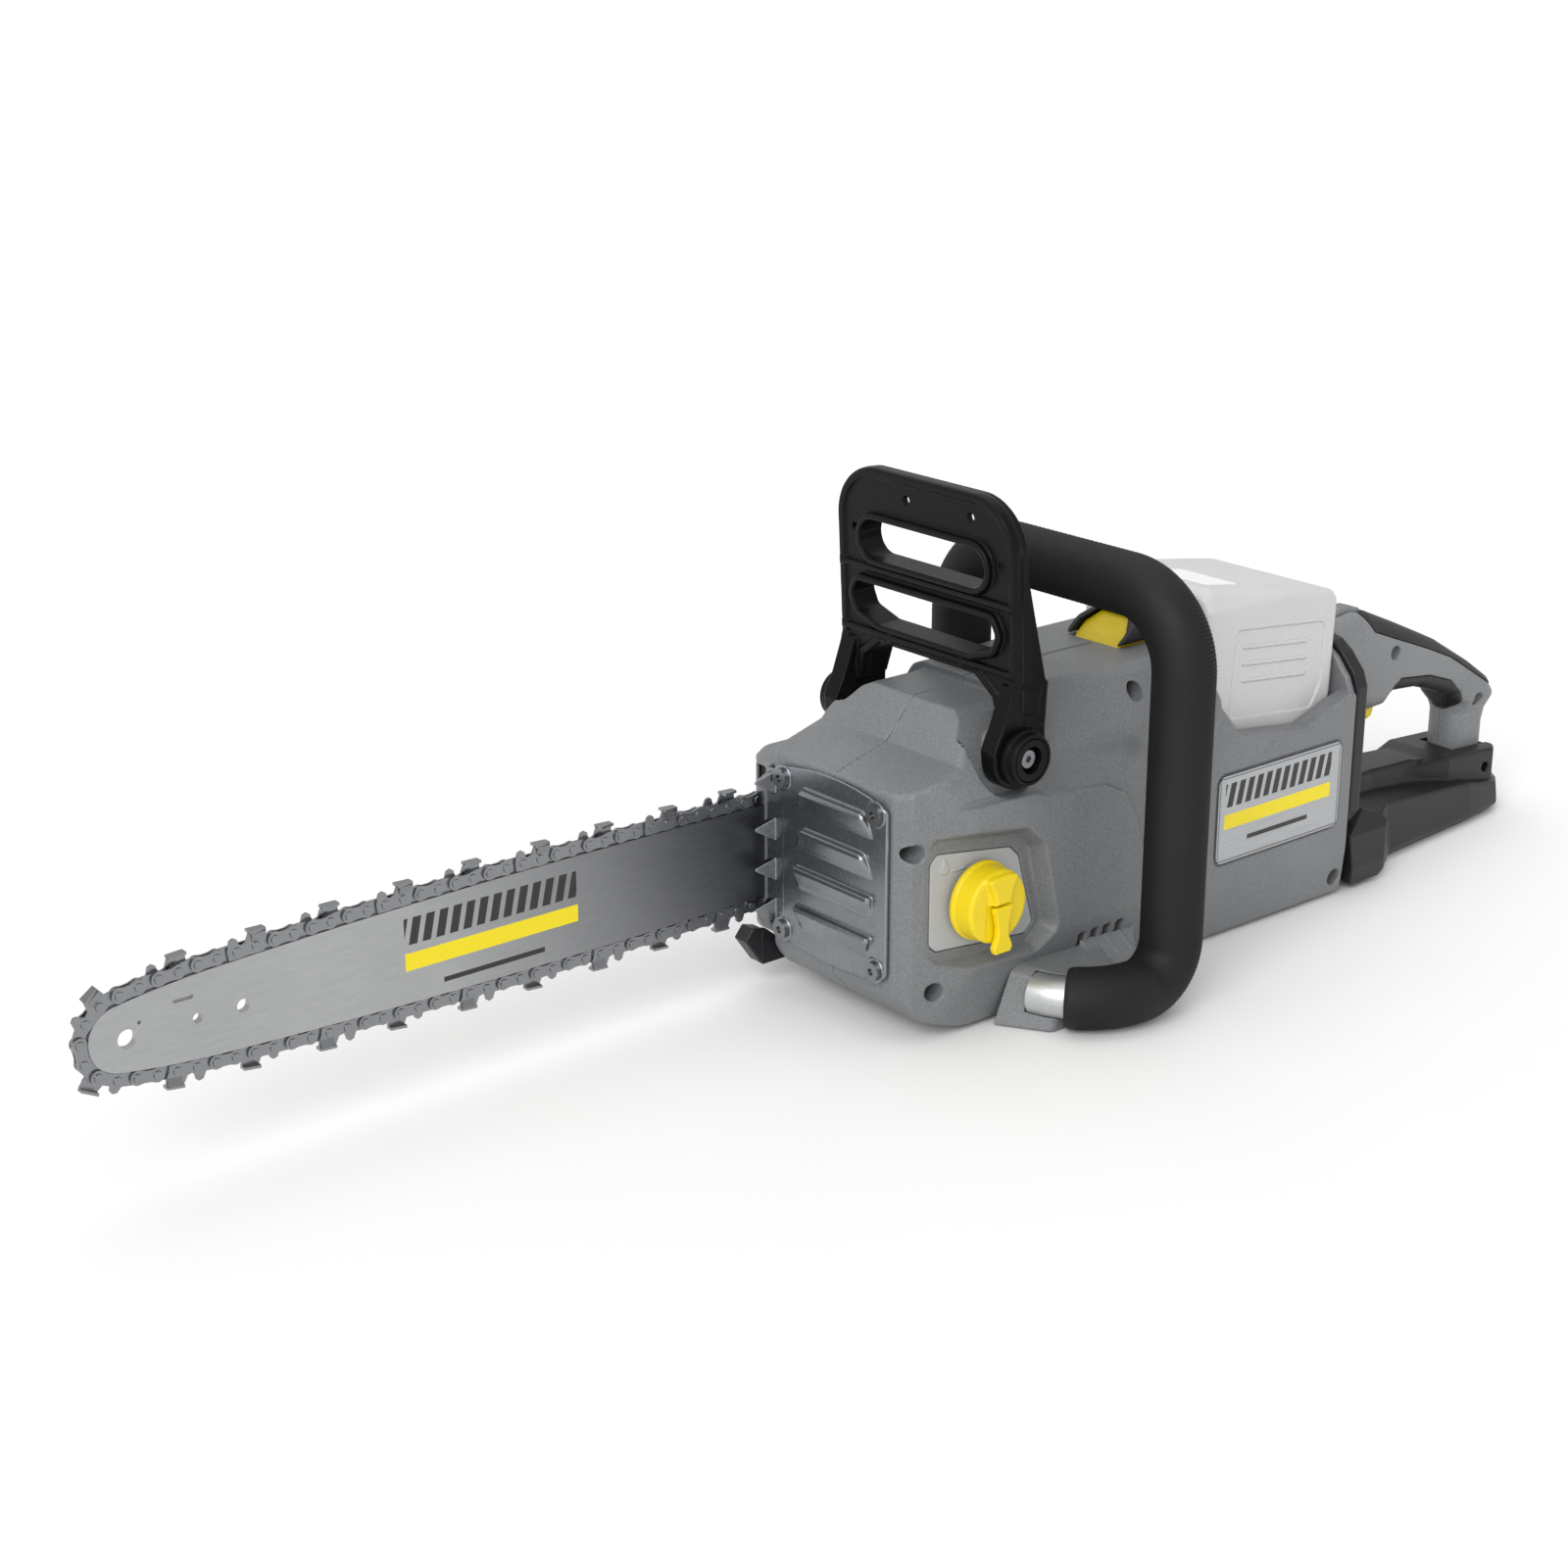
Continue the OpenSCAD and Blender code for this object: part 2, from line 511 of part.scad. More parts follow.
module windows(g) {
  upper_window(g);
  lower_window(g);
}
module hand_guard() color("#1b1c1e") difference() {
  union() {
    translate([pivot_x, 0, pivot_z]) rotate([0, -guard_lean, 0]) translate([-pivot_x, 0, -pivot_z])
      difference() {
        union() {
          intersection() {
            along_x(-50, -20) difference() { guard_outline(); guard_inset(); }
            along_y(-70, 70) polygon([[-43, 150], [-43, 262], [-34, 262], [-32, 220], [-22, 170],
              [-24, 150]]);
          }
          along_x(-41.5, -38) guard_outline();
          intersection() {
            along_x(-45.2, -30) windows(3.2);
            along_x(-50, -20) guard_outline();
          }
          for (z = [176, 209]) along_x(-43, -34) translate([-60, z]) square([120, 3]);
        }
        along_x(-60, -10) windows(0);
        along_x(-60, -10) for (p = [[13, 249], [-32, 249], [51, 229], [-52, 229]])
          translate(p) circle(r = 2.2, $fn = 24);
      }
    for (s = [-1, 1]) along_y(s > 0 ? 52 : -62, s > 0 ? 62 : -52) {
      translate([pivot_x, pivot_z]) circle(r = 16.5, $fn = 64);
      polygon([[-56, 141], [-45, 172], [-22, 172], [-24.5, 133], [pivot_x, 122]]);
    }
  }
  rod_y(pivot_x, pivot_z, 7.58, -70, 70);
}
module pivot_caps() color("#232426") for (s = [-1, 1]) translate([pivot_x, 0, pivot_z])
  rotate([s > 0 ? -90 : 90, 0, 0]) difference() {
    union() {
      translate([0, 0, 51.5]) cylinder(r = 7.5, h = 12, $fn = 64);
      translate([0, 0, 62.4]) cylinder(r = 14, h = 4, $fn = 64);
      translate([0, 0, 66.3]) cylinder(r = 12.8, h = 4, $fn = 64);
    }
    translate([0, 0, 50]) cylinder(r = 2.55, h = 30, $fn = 24);
    translate([0, 0, 65]) cylinder(r = 6.5, h = 10, $fn = 48);
  }

// ---- front handle: a bent tube with a rubber grip over it
top_r = 38;
left_y = -100;
right_y = 54;
handle_x = 30;
arch_z = 210;
curl_r = 42;
module torus_yz(y, z, r0, r, a, da, f) translate([handle_x, y, z]) rotate([90, 0, 90])
  rotate([0, 0, a]) rotate_extrude(angle = da, $fn = 96) translate([r0, 0]) circle(r = r, $fn = f);
module handle_sweep(r, bottom, tail) {
  f = 40;
  low_r = r - 0.05;
  translate([handle_x, right_y, bottom]) cylinder(r = r, h = arch_z - top_r - bottom, $fn = f);
  torus_yz(right_y - top_r, arch_z - top_r, top_r, r, 0, 90, f);
  translate([handle_x, left_y + top_r, arch_z]) rotate([-90, 0, 0])
    cylinder(r = r, h = right_y - left_y - 2 * top_r, $fn = f);
  torus_yz(left_y + top_r, arch_z - top_r, top_r, r, 90, 90, f);
  translate([handle_x, left_y, 96]) cylinder(r = r, h = arch_z - top_r - 96, $fn = f);
  translate([handle_x, left_y, 38]) {
    cylinder(r = low_r, h = 68, $fn = f);
    translate([-22, 0, 0]) rotate([90, 0, 0]) rotate([0, 0, -90])
      rotate_extrude(angle = 90, $fn = 96) translate([22, 0]) circle(r = low_r, $fn = f);
  }
  tail_arc(low_r - 0.05, tail);
}
// the tail runs along the ground and curls in towards the body
module tail_arc(r, turn) translate([handle_x - 22, left_y + curl_r, 16]) rotate([0, 0, 270 - turn])
  rotate_extrude(angle = turn, $fn = 96) translate([curl_r, 0]) circle(r = r, $fn = 40);
module front_handle_tube() color("#5c6064") difference() {
  handle_sweep(tube_d / 2, 122, 74);
}
module front_handle_grip() color("#141516") difference() {
  handle_sweep(grip_d / 2, 138, 52);
  handle_sweep(tube_d / 2, 121, 56);
}
module handle_bracket() color("#8a8c8d") difference() {
  intersection() {
    linear_extrude(height = 50) polygon([[-48, -61], [-36, -86], [6, -84], [24, -61]]);
    along_y(-90, -60) polygon([[-48, 0.4], [-38, 26], [-31, 31], [24, 29], [24, 0.4]]);
    along_x(-60, 30) polygon([[-61, 0.4], [-87, 0.4], [-87, 26], [-61, 32]]);
  }
  tail_arc(tube_d / 2 - 0.08, 76);
  tail_arc(grip_d / 2 + 0.4, 52.6);
  box([-70, -62.2, -1], [30, -40, 40]);
}

// ---- oil system
module plate_outline(g) {
  polygon([[-88.5 - g, 50], [-83.5, 46 - g], [-83.5, 95.5 + g], [-88.5 - g, 91]]);
  polygon([[-84, 46 - g], [-25, 40.2 - g], [-19.6 + g, 45], [-30.4 + g, 82.5], [-36, 88 + g],
    [-84, 95.5 + g]]);
}
module oil_recess() {
  along_y(-70, -50.2) plate_outline(0.3);
  along_y(-70, -53.4) polygon([[-92, 46], [-84, 41], [-24, 36.5], [-14, 44], [-24.5, 86], [-34, 95],
    [-86, 103], [-92, 98]]);
}
module oil_tank() color("#d9dad6") difference() {
  union() {
    box([-86, -48.2, 44], [-30, -38.5, 100]);
    rod_y(cap_x, cap_z, 14.2, -55.6, -48);
    rod_y(-74, 46.5, 2.4, -41, -37, 24);
  }
  box([-84.4, -46.6, 45.6], [-31.6, -40.1, 98.4]);
  rod_y(cap_x, cap_z, 12.1, -70, -46);
}
module oil_plate() color("#c3c5c6") along_y(-53.2, -50.4) difference() {
  plate_outline(0);
  translate([cap_x, cap_z]) circle(r = 14.3, $fn = 64);
}
module oil_cap() color("#f2d500") difference() {
  union() {
    rod_y(cap_x, cap_z, cap_r, -72, -55.8, 72);
    rod_y(cap_x, cap_z, 11.9, -55.9, -49.5, 64);
  }
  along_y(-73, -68.9) translate([cap_x - 6.5, cap_z - 22]) square([13, 24.8]);
  rod_y(cap_x, cap_z, 9.6, -60, -49, 48);
}
module oil_cap_wing() color("#f4d800") {
  along_y(-73.4, -69.8) translate([cap_x, cap_z]) polygon([[-5.8, -0.4], [-4.4, -16.5], [-5.4, -20],
    [-3, -22.5], [3, -22.5], [5.4, -20], [4.4, -16.5], [5.8, -0.4]]);
  rod_x(-71.6, cap_z - 0.4, 1.8, cap_x - 5.8, cap_x + 5.8);
  along_y(-74.6, -73.3) translate([cap_x - 1.2, cap_z - 19]) square([2.4, 17]);
}

// ---- electronics under the battery
module control_board() color("#2e5d3c") {
  box([12, -44, 10.1], [92, 44, 11.8]);
  for (y = [-30, -10, 10, 30]) box([16, y - 5, 11.7], [26, y + 5, 18]);
}
module heat_sink() color("#a2a5a7") {
  box([30, -42, 11.9], [90, 42, 15]);
  for (i = [0:9]) box([31 + i * 6.3, -42, 14.9], [33 + i * 6.3, 42, 34]);
}
module terminal_block() color("#191a1c") {
  box([146, -20, batt_z0 - 1.4], [176, 20, 70]);
  for (y = [-14, -5, 5, 14]) box([151, y - 0.6, 69.9], [171, y + 0.6, 76]);
}

// ---- battery pack
function batt_pts(t) = [[batt_x0 + 2 + t, batt_z0 + t], [205 - t, batt_z0 + t], [207 - t, 120],
  [batt_x1 + 1 - t, batt_z2 - 5], [batt_x1 - 3 - t, batt_z2 - t], [batt_x0 + 6 + t, batt_z1 - t],
  [batt_x0 + t, batt_z1 - 5], [batt_x0 + t, 120]];
module batt_solid(t) intersection() {
  along_y(-batt_half + t, batt_half - t) polygon(batt_pts(t));
  along_x(60, 260) polygon([[-batt_half + 4 + t, batt_z0], [batt_half - 4 - t, batt_z0],
    [batt_half - t, 105], [batt_half - t, 176], [batt_half - 8 - t, 189], [-batt_half + 8 + t, 189],
    [-batt_half + t, 176], [-batt_half + t, 105]]);
}
module battery_shell() color("#d4d4d4") difference() {
  batt_solid(0);
  difference() {
    batt_solid(2.5);
    box([140, -26, 60], [182, 26, 84]);
  }
  box([144, -22, 60], [178, 22, 78]);
  rod_x(-20, 171, 4, 105, 114, 24);
}
module battery_cells() color("#3c6f9e") for (i = [0:3]) for (z = [97, 121])
  rod_y(124.6 + 22.4 * i, z, 10.3, -35, 35, 40);
module battery_contacts() color("#c79a4a") for (y = [-14, -5, 5, 14]) {
  box([150, y - 1.9, 73], [172, y - 0.95, 77.9]);
  box([150, y + 0.95, 73], [172, y + 1.9, 77.9]);
}
module arc_top(w, z0, z1) polygon([[-w, z0], [-w, z1 - 7], [-w * 0.6, z1], [w * 0.6, z1], [w, z1 - 7],
  [w, z0]]);
module release_button() color("#f2d500") {
  along_x(74.5, 100) arc_top(15.5, 157, 172);
  box([80, -14, 152.5], [97, 14, 157.1]);
}
module release_frame() color("#1a1b1d") along_x(70, 104) difference() {
  arc_top(21, 160.1, 174.5);
  arc_top(15.9, 150, 172.5);
}
module release_spring() color("#b8bbbd") for (y = [-8, 8]) for (i = [0:4])
  translate([88, y, 143.5 + i * 2]) rotate_extrude($fn = 24) translate([3.4, 0])
    circle(r = 0.5, $fn = 16);

// ---- rear frame, base and handle
module rear_frame() color("#202123") difference() {
  along_x(rear_x + 0.05, rear_x + 9) polygon([[-49.6, 45.4], [-57, 46.6], [-57, 118], [-54, 126],
    [-45, 136], [-38, 141], [-28, 143.5], [28, 143.5], [38, 141], [45, 136], [54, 126], [57, 118],
    [57, 46.6], [49.6, 45.4], [49, 4], [-49, 4]]);
  for (s = [-1, 1]) rod_x(s * 45, 108, 3.5, rear_x + 3, rear_x + 10, 32);
}
module base_plan(t, x0) polygon([[x0, -50 + t], [262, -50 + t], [278, -40 + t], [362, -33 + t],
  [392, -29 + t], [base_end - 6 - t, -20 + t], [base_end - t, -12], [base_end - t, 12],
  [base_end - 6 - t, 20 - t], [392, 29 - t], [362, 33 - t], [278, 40 - t], [262, 50 - t], [x0, 50 - t]]);
module rear_base() color("#1c1d1f") difference() {
  union() {
    intersection() {
      translate([0, 0, 0.4]) linear_extrude(height = 60) base_plan(0, rear_x + 9.1);
      along_y(-60, 60) polygon([[200, 2], [392, 2], [base_end + 1, 8], [base_end + 1, 13],
        [base_end - 37, 21], [base_end - 49, 24], [262, 34], [200, 40]]);
    }
    intersection() {
      linear_extrude(height = 60) polygon([[rear_x + 9.1, -30], [290, -17], [345, -15], [360, -20],
        [396, -20], [base_end - 4, -13], [base_end - 4, 13], [396, 20], [360, 20], [345, 15],
        [290, 17], [rear_x + 9.1, 30]]);
      along_y(-60, 60) polygon([[200, 20], [base_end - 4, 20], [base_end - 4, 27], [base_end - 10, 34],
        [352, 36], [330, 42], [270, 46], [200, 47]]);
    }
    intersection() {
      translate([0, 0, 0]) linear_extrude(height = 2.2) base_plan(1.2, rear_x + 9.1);
      box([200, -60, 0], [base_end - 10, 60, 10]);
    }
  }
  box([367.8, -12.2, 24], [401.2, 12.2, 60]);
  rod_y(base_end - 23, 27.5, 3, -40, -14, 24);
}
module corner_blocks() color("#1d1e20") for (s = [0, 1]) mirror([0, s, 0]) difference() {
  along_y(-59, -50.1) polygon([[225, 3.4], [221, 13], [217.8, 34], [235, 44.9], [249, 39], [257, 29],
    [256, 13], [249, 3.4]]);
  translate([251, -59, 0]) rotate([0, 0, -35]) cube([20, 12, 60], center = false);
  translate([200, -62.6, 0]) rotate([-6, 0, 0]) cube([80, 3, 60]);
}
handle_pts = [[rear_x + 9.1, 86], [268, 84], [286, 80.5], [298, 81], [306, 88], [330, 86], [352, 79],
  [363, 74], [368.5, 65], [368.5, 26], [400.5, 26], [400.5, 52], [403, 60], [403.5, 70], [396, 80],
  [378, 92], [345, 111], [310, 127], [283, 138.5], [268, 142], [rear_x + 9.1, 141]];
grip_top_pts = [[288, 140], [286, 128], [302, 121], [331, 110], [355, 100], [380, 85], [397, 75], [401, 73],
  [410, 70], [410, 100], [340, 130]];
module handle_hollow() {
  along_y(-7.6, 7.6) polygon([[251, 70], [251, 112], [306, 112], [306, 92], [301, 70]]);
  along_y(-9.5, 9.5) polygon([[262, 111.9], [262, 126], [296, 122], [296, 111.9]]);
  along_y(-5.6, 5.6) polygon([[256, 125], [254, 152], [284.6, 152], [284.6, 122]]);
}
module handle_half(s) difference() {
  intersection() {
    along_y(s > 0 ? 0 : -handle_half, s > 0 ? handle_half : 0) polygon(handle_pts);
    along_x(200, 420) polygon([[-12, 0], [-12, 60], [-handle_half, 70], [-handle_half, 118],
      [-14, 128], [-11, 150], [11, 150], [14, 128], [handle_half, 118], [handle_half, 70], [12, 60],
      [12, 0]]);
  }
  handle_hollow();
  along_y(-30, 30) polygon(grip_top_pts);
  along_y(-30, 30) polygon([[309, 78], [310, 92], [335, 92], [355, 84], [367, 75], [371.2, 66],
    [371.2, 60], [350, 60]]);
  if (s < 0) for (p = [[301, 113], [384, 68]]) rod_y(p[0], p[1], 4.4, -20, -12.5);
}
module handle_left() color("#77797a") handle_half(-1);
module handle_right() color("#77797a") handle_half(1);
module handle_grips() color("#131415") {
  intersection() {
    along_y(-15.5, 15.5) polygon(grip_top_pts);
    along_y(-30, 30) polygon(handle_pts);
    along_x(200, 420) polygon([[-15, 0], [-15, 104], [-14.5, 120], [-10, 150], [10, 150],
      [14.5, 120], [15, 104], [15, 0]]);
  }
  intersection() {
    along_y(-15, 15) polygon([[309, 78], [310, 92], [335, 92], [355, 84], [367, 75], [371.2, 66],
      [371.2, 60], [350, 60]]);
    along_y(-30, 30) polygon(handle_pts);
  }
}
module trigger() color("#f0d400") difference() {
  along_y(-6.4, 6.4) polygon([[255, 95], [258, 104], [284, 104], [300, 99], [300, 84], [297, 74],
    [293, 72.5], [289, 78], [279, 84], [262, 89]]);
  rod_y(262, 98, 2.08, -10, 10, 32);
}
module trigger_switch() color("#2f3133") {
  box([266, -9, 112.6], [294, 9, 121]);
  rod_y(262, 98, 2, -7.6, 7.6, 32);
  rod_y(265, 134, 1.5, -5.6, 5.6, 24);
}
module lock_off_lever() color("#6a6d6e") difference() {
  along_y(-5, 5) polygon([[259.5, 134], [260, 142.5], [264, 146.5], [274, 146], [282, 143], [281, 139.5],
    [270, 131], [262, 129.5]]);
  rod_y(265, 134, 1.55, -10, 10, 24);
}
module name_plate() color("#b9bcbd") along_y(-58.4, -56.85) round_sq(108.4, 44, 205.6, 92, 4.5);

// ---- sprocket cover on the bar side
module cover_plan(t) polygon([[front_x, 49.2], [front_x, 58 - t], [-96, 68 - t], [-80, 79 - t],
  [-64, 84.5 - t], [20, 84.5 - t], [38 - t, 77 - t], [46 - t, 62], [46 - t, 49.2]]);
module cover_face(t) polygon([[front_x - 1, 34 + t], [-97, 26 + t], [-60, 21 + t], [10, 23 + t],
  [38 - t / 2, 38 + t], [46 - t, 60], [46 - t, 100], [36 - t, 118.6 - t], [front_x - 1, 118.6 - t]]);
module sprocket_cover() color("#747678") difference() {
  intersection() {
    linear_extrude(height = 130) cover_plan(0);
    along_y(45, 90) cover_face(0);
    along_x(-120, 60) polygon([[49, 20], [49, 119], [74, 119], [85, 108], [85, 34], [72, 20]]);
  }
  difference() {
    intersection() {
      translate([-2, -2, 0]) linear_extrude(height = 130) cover_plan(0.2);
      along_y(45, 90) cover_face(2.6);
      along_x(-120, 60) polygon([[40, 22], [40, 117], [72, 117], [82, 107], [82, 36], [70, 22]]);
    }
    for (x = stud_x) rod_y(x, bar_z, 11, bar_y + bar_t / 2, 90);
  }
  for (x = stud_x) {
    rod_y(x, bar_z, 4.3, 40, 90, 36);
    rod_y(x, bar_z, 9, 64, 90, 36);
  }
  rod_y(-56, bar_z - 43, 2.8, 40, 90, 24);
  rod_y(-56, bar_z - 43, 5.3, 82.6, 90, 32);
}

left_housing();
right_housing();
body_screws();
bumper_plate();
torx_screws();
chain_catcher();
bar_pad();
bar_studs();
sprocket_cover();
bar_nuts();
tension_screw();
tension_pin();
guide_bar();
drive_links();
cutters_left();
cutters_right();
tie_straps();
chain_rivets();
drive_sprocket();
motor_shaft();
rotor_core();
cooling_fan();
motor_stator();
stator_coils();
shaft_bearings();
motor_bracket();
brake_drum();
brake_band();
brake_spring();
hand_guard();
pivot_caps();
front_handle_tube();
front_handle_grip();
handle_bracket();
oil_tank();
oil_plate();
oil_cap();
oil_cap_wing();
oil_pump();
pump_gear();
oil_hose();
control_board();
heat_sink();
terminal_block();
battery_shell();
battery_cells();
battery_contacts();
release_button();
release_frame();
release_spring();
rear_frame();
rear_base();
corner_blocks();
handle_left();
handle_right();
handle_grips();
trigger();
trigger_switch();
lock_off_lever();
name_plate();
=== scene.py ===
import math

import bpy
import numpy as np
from mathutils import Matrix, Vector


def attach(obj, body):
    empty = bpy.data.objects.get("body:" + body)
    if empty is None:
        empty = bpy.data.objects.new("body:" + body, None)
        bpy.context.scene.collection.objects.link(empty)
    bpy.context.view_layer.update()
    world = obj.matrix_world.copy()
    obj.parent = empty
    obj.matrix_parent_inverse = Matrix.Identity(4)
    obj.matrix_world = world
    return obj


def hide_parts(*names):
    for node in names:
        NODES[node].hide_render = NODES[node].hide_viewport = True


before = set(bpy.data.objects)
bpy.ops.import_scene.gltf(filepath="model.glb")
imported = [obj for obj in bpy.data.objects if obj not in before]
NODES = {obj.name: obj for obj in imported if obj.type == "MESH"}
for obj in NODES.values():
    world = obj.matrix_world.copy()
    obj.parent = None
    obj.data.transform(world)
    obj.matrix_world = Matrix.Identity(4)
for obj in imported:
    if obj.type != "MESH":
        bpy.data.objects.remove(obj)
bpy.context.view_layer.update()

# -------------- camera
cam_data = bpy.data.cameras.new("view_camera")
cam_data.lens, cam_data.sensor_width = 61.85, 36.0
cam_data.clip_start, cam_data.clip_end = 0.05, 40.0
camera = bpy.data.objects.new("view_camera", cam_data)
bpy.context.scene.collection.objects.link(camera)
right, up, ahead = (Vector(v).normalized() for v in (
    (0.77046, -0.63749, -0.00095), (0.21251, 0.25543, 0.94318), (0.60102, 0.72689, -0.33227)))
camera.matrix_world = Matrix((
    (right.x, up.x, -ahead.x, -0.896), (right.y, up.y, -ahead.y, -0.9217),
    (right.z, up.z, -ahead.z, 0.5493), (0, 0, 0, 1)))
bpy.context.scene.camera = camera


# -------------- solids as distance fields, in mm
def inset(pts, r):
    """The polygon moved inwards by r."""
    p = [np.array(q, float) for q in pts]
    n = len(p)
    area = sum(p[i][0] * p[(i + 1) % n][1] - p[(i + 1) % n][0] * p[i][1] for i in range(n))
    s = 1.0 if area > 0 else -1.0
    out = []
    for i in range(n):
        a, b, c = p[i - 1], p[i], p[(i + 1) % n]
        u, v = (b - a) / np.linalg.norm(b - a), (c - b) / np.linalg.norm(c - b)
        nu, nv = s * np.array((-u[1], u[0])), s * np.array((-v[1], v[0]))
        m = nu + nv
        k = m @ nu
        out.append(b + r * (m / k if abs(k) > 1e-3 else nu))
    return out


def outline(u, v, pts, r=0.0):
    """Signed distance to a closed polygon whose outer corners are rounded by r."""
    p = inset(pts, r) if r else [np.array(q, float) for q in pts]
    d = sign = None
    for i in range(len(p)):
        a, b = p[i], p[i - 1]
        e = b - a
        wu, wv = u - a[0], v - a[1]
        t = np.clip((wu * e[0] + wv * e[1]) / (e @ e), 0, 1)
        q = (wu - e[0] * t) ** 2 + (wv - e[1] * t) ** 2
        d = q if d is None else np.minimum(d, q)
        c1, c2, c3 = v >= a[1], v < b[1], e[0] * wv > e[1] * wu
        flip = (c1 & c2 & c3) | (~c1 & ~c2 & ~c3)
        sign = flip if sign is None else sign ^ flip
    return np.where(sign, -1.0, 1.0) * np.sqrt(d) - r


def slab(u, lo, hi):
    return np.maximum(lo - u, u - hi)


def both(a, b, r=0.0):
    """Where both solids are, the edge between them rounded by r."""
    if r <= 0:
        return np.maximum(a, b)
    return np.minimum(np.maximum(a, b), -r) + np.hypot(np.maximum(a + r, 0), np.maximum(b + r, 0))


def cut(a, b, r=0.0):
    return both(a, -b, r)


def join(a, b, r=0.0):
    return -both(-a, -b, r)


def disc(u, v, cu, cv, r):
    return np.hypot(u - cu, v - cv) - r


def rect(u, v, u0, v0, u1, v1, r=0.0):
    a, b = np.abs(u - (u0 + u1) / 2) - (u1 - u0) / 2 + r, np.abs(v - (v0 + v1) / 2) - (v1 - v0) / 2 + r
    return np.hypot(np.maximum(a, 0), np.maximum(b, 0)) + np.minimum(np.maximum(a, b), 0) - r


def brick(x, y, z, lo, hi, r=0.0):
    return both(rect(x, y, lo[0], lo[1], hi[0], hi[1], r), slab(z, lo[2], hi[2]), r)


def rod(a, b, c, ca, cb, r, lo, hi, e=0.0):
    """A cylinder round (ca, cb), along c from lo to hi."""
    return both(disc(a, b, ca, cb, r), slab(c, lo, hi), e)


def slope(fn, p, e=0.05):
    g = np.empty_like(p)
    for k in range(3):
        q, s = p.copy(), p.copy()
        q[:, k] += e
        s[:, k] -= e
        g[:, k] = (fn(*q.T) - fn(*s.T)) / (2 * e)
    return g


def net(fn, lo, hi, h):
    """The surface where fn is 0: vertices, quads and unit normals."""
    lo = np.array(lo, float) - 2.3 * h
    n = np.ceil((np.array(hi, float) + 2.3 * h - lo) / h).astype(int) + 1
    ax = [(lo[k] + h * np.arange(n[k])) for k in range(3)]
    v = np.broadcast_to(fn(ax[0][:, None, None], ax[1][None, :, None], ax[2][None, None, :]), n)
    v = np.array(v, dtype=np.float32)
    v[v == 0] = 1e-6
    ins = v < 0
    total = np.zeros(tuple(n - 1), np.int8)
    for i in (0, 1):
        for j in (0, 1):
            for k in (0, 1):
                total += ins[i:n[0] - 1 + i, j:n[1] - 1 + j, k:n[2] - 1 + k]
    active = (total > 0) & (total < 8)
    cells = np.argwhere(active)
    ids = np.full(active.shape, -1, np.int32)
    ids[active] = np.arange(len(cells), dtype=np.int32)
    acc, cnt = np.zeros((len(cells), 3)), np.zeros(len(cells))
    for axis in range(3):
        a, b = (axis + 1) % 3, (axis + 2) % 3
        for i in (0, 1):
            for j in (0, 1):
                c0 = cells.copy()
                c0[:, a] += i
                c0[:, b] += j
                c1 = c0.copy()
                c1[:, axis] += 1
                v0, v1 = v[tuple(c0.T)], v[tuple(c1.T)]
                hit = (v0 < 0) != (v1 < 0)
                t = np.where(hit, v0 / np.where(hit, v0 - v1, 1), 0)
                p = c0.astype(float)
                p[:, axis] += t
                acc += np.where(hit[:, None], p, 0)
                cnt += hit
    co = lo + h * acc / cnt[:, None]
    quads = []
    for axis in range(3):
        a, b = (axis + 1) % 3, (axis + 2) % 3
        s0, s1 = [slice(1, -1)] * 3, [slice(1, -1)] * 3
        s0[axis], s1[axis] = slice(0, -1), slice(1, None)
        i0, i1 = ins[tuple(s0)], ins[tuple(s1)]
        change = i0 != i1
        e = np.argwhere(change)
        e[:, a] += 1
        e[:, b] += 1
        q = []
        for da, db in ((1, 1), (0, 1), (0, 0), (1, 0)):
            c = e.copy()
            c[:, a] -= da
            c[:, b] -= db
            q.append(ids[tuple(c.T)])
        q = np.stack(q, 1)
        back = ~i0[change]
        q[back] = q[back][:, ::-1]
        quads.append(q)
    quads = np.concatenate(quads)
    for _ in range(2):
        d, g = fn(*co.T), slope(fn, co)
        g2 = np.maximum((g * g).sum(1), 0.3)
        co = co - (np.clip(d, -0.5 * h, 0.5 * h) / g2)[:, None] * g
    g = slope(fn, co)
    return co, quads, g / np.maximum(np.linalg.norm(g, axis=1), 1e-6)[:, None]


def mesh_of(name, co, quads, normals=None):
    me = bpy.data.meshes.new(name)
    me.vertices.add(len(co))
    me.vertices.foreach_set("co", (co * 0.001).astype(np.float32).ravel())
    me.loops.add(4 * len(quads))
    me.loops.foreach_set("vertex_index", quads.astype(np.int32).ravel())
    me.polygons.add(len(quads))
    me.polygons.foreach_set("loop_start", np.arange(len(quads), dtype=np.int32) * 4)
    me.polygons.foreach_set("use_smooth", np.ones(len(quads), bool))
    me.update(calc_edges=True)
    if normals is not None:
        me.normals_split_custom_set_from_vertices(normals.astype(np.float32).tolist())
    return me


def piece(name, me, body, finish, *nodes):
    o = bpy.data.objects.new(name, me)
    bpy.context.scene.collection.objects.link(o)
    o.data.materials.append(MATS[finish])
    if nodes:
        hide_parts(*nodes)
    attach(o, body)
    return o


def solid(name, body, finish, nodes, fn, lo, hi, h, hollow=None, hollow_h=3.0):
    co, quads, nor = net(fn, lo, hi, h)
    if hollow is not None:
        c2, q2, n2 = net(hollow, lo, hi, hollow_h)
        quads = np.concatenate([quads, q2[:, ::-1] + len(co)])
        co, nor = np.concatenate([co, c2]), np.concatenate([nor, -n2])
    return piece(name, mesh_of(name, co, quads, nor), body, finish, *nodes)


# -------------- materials
MATS = {}


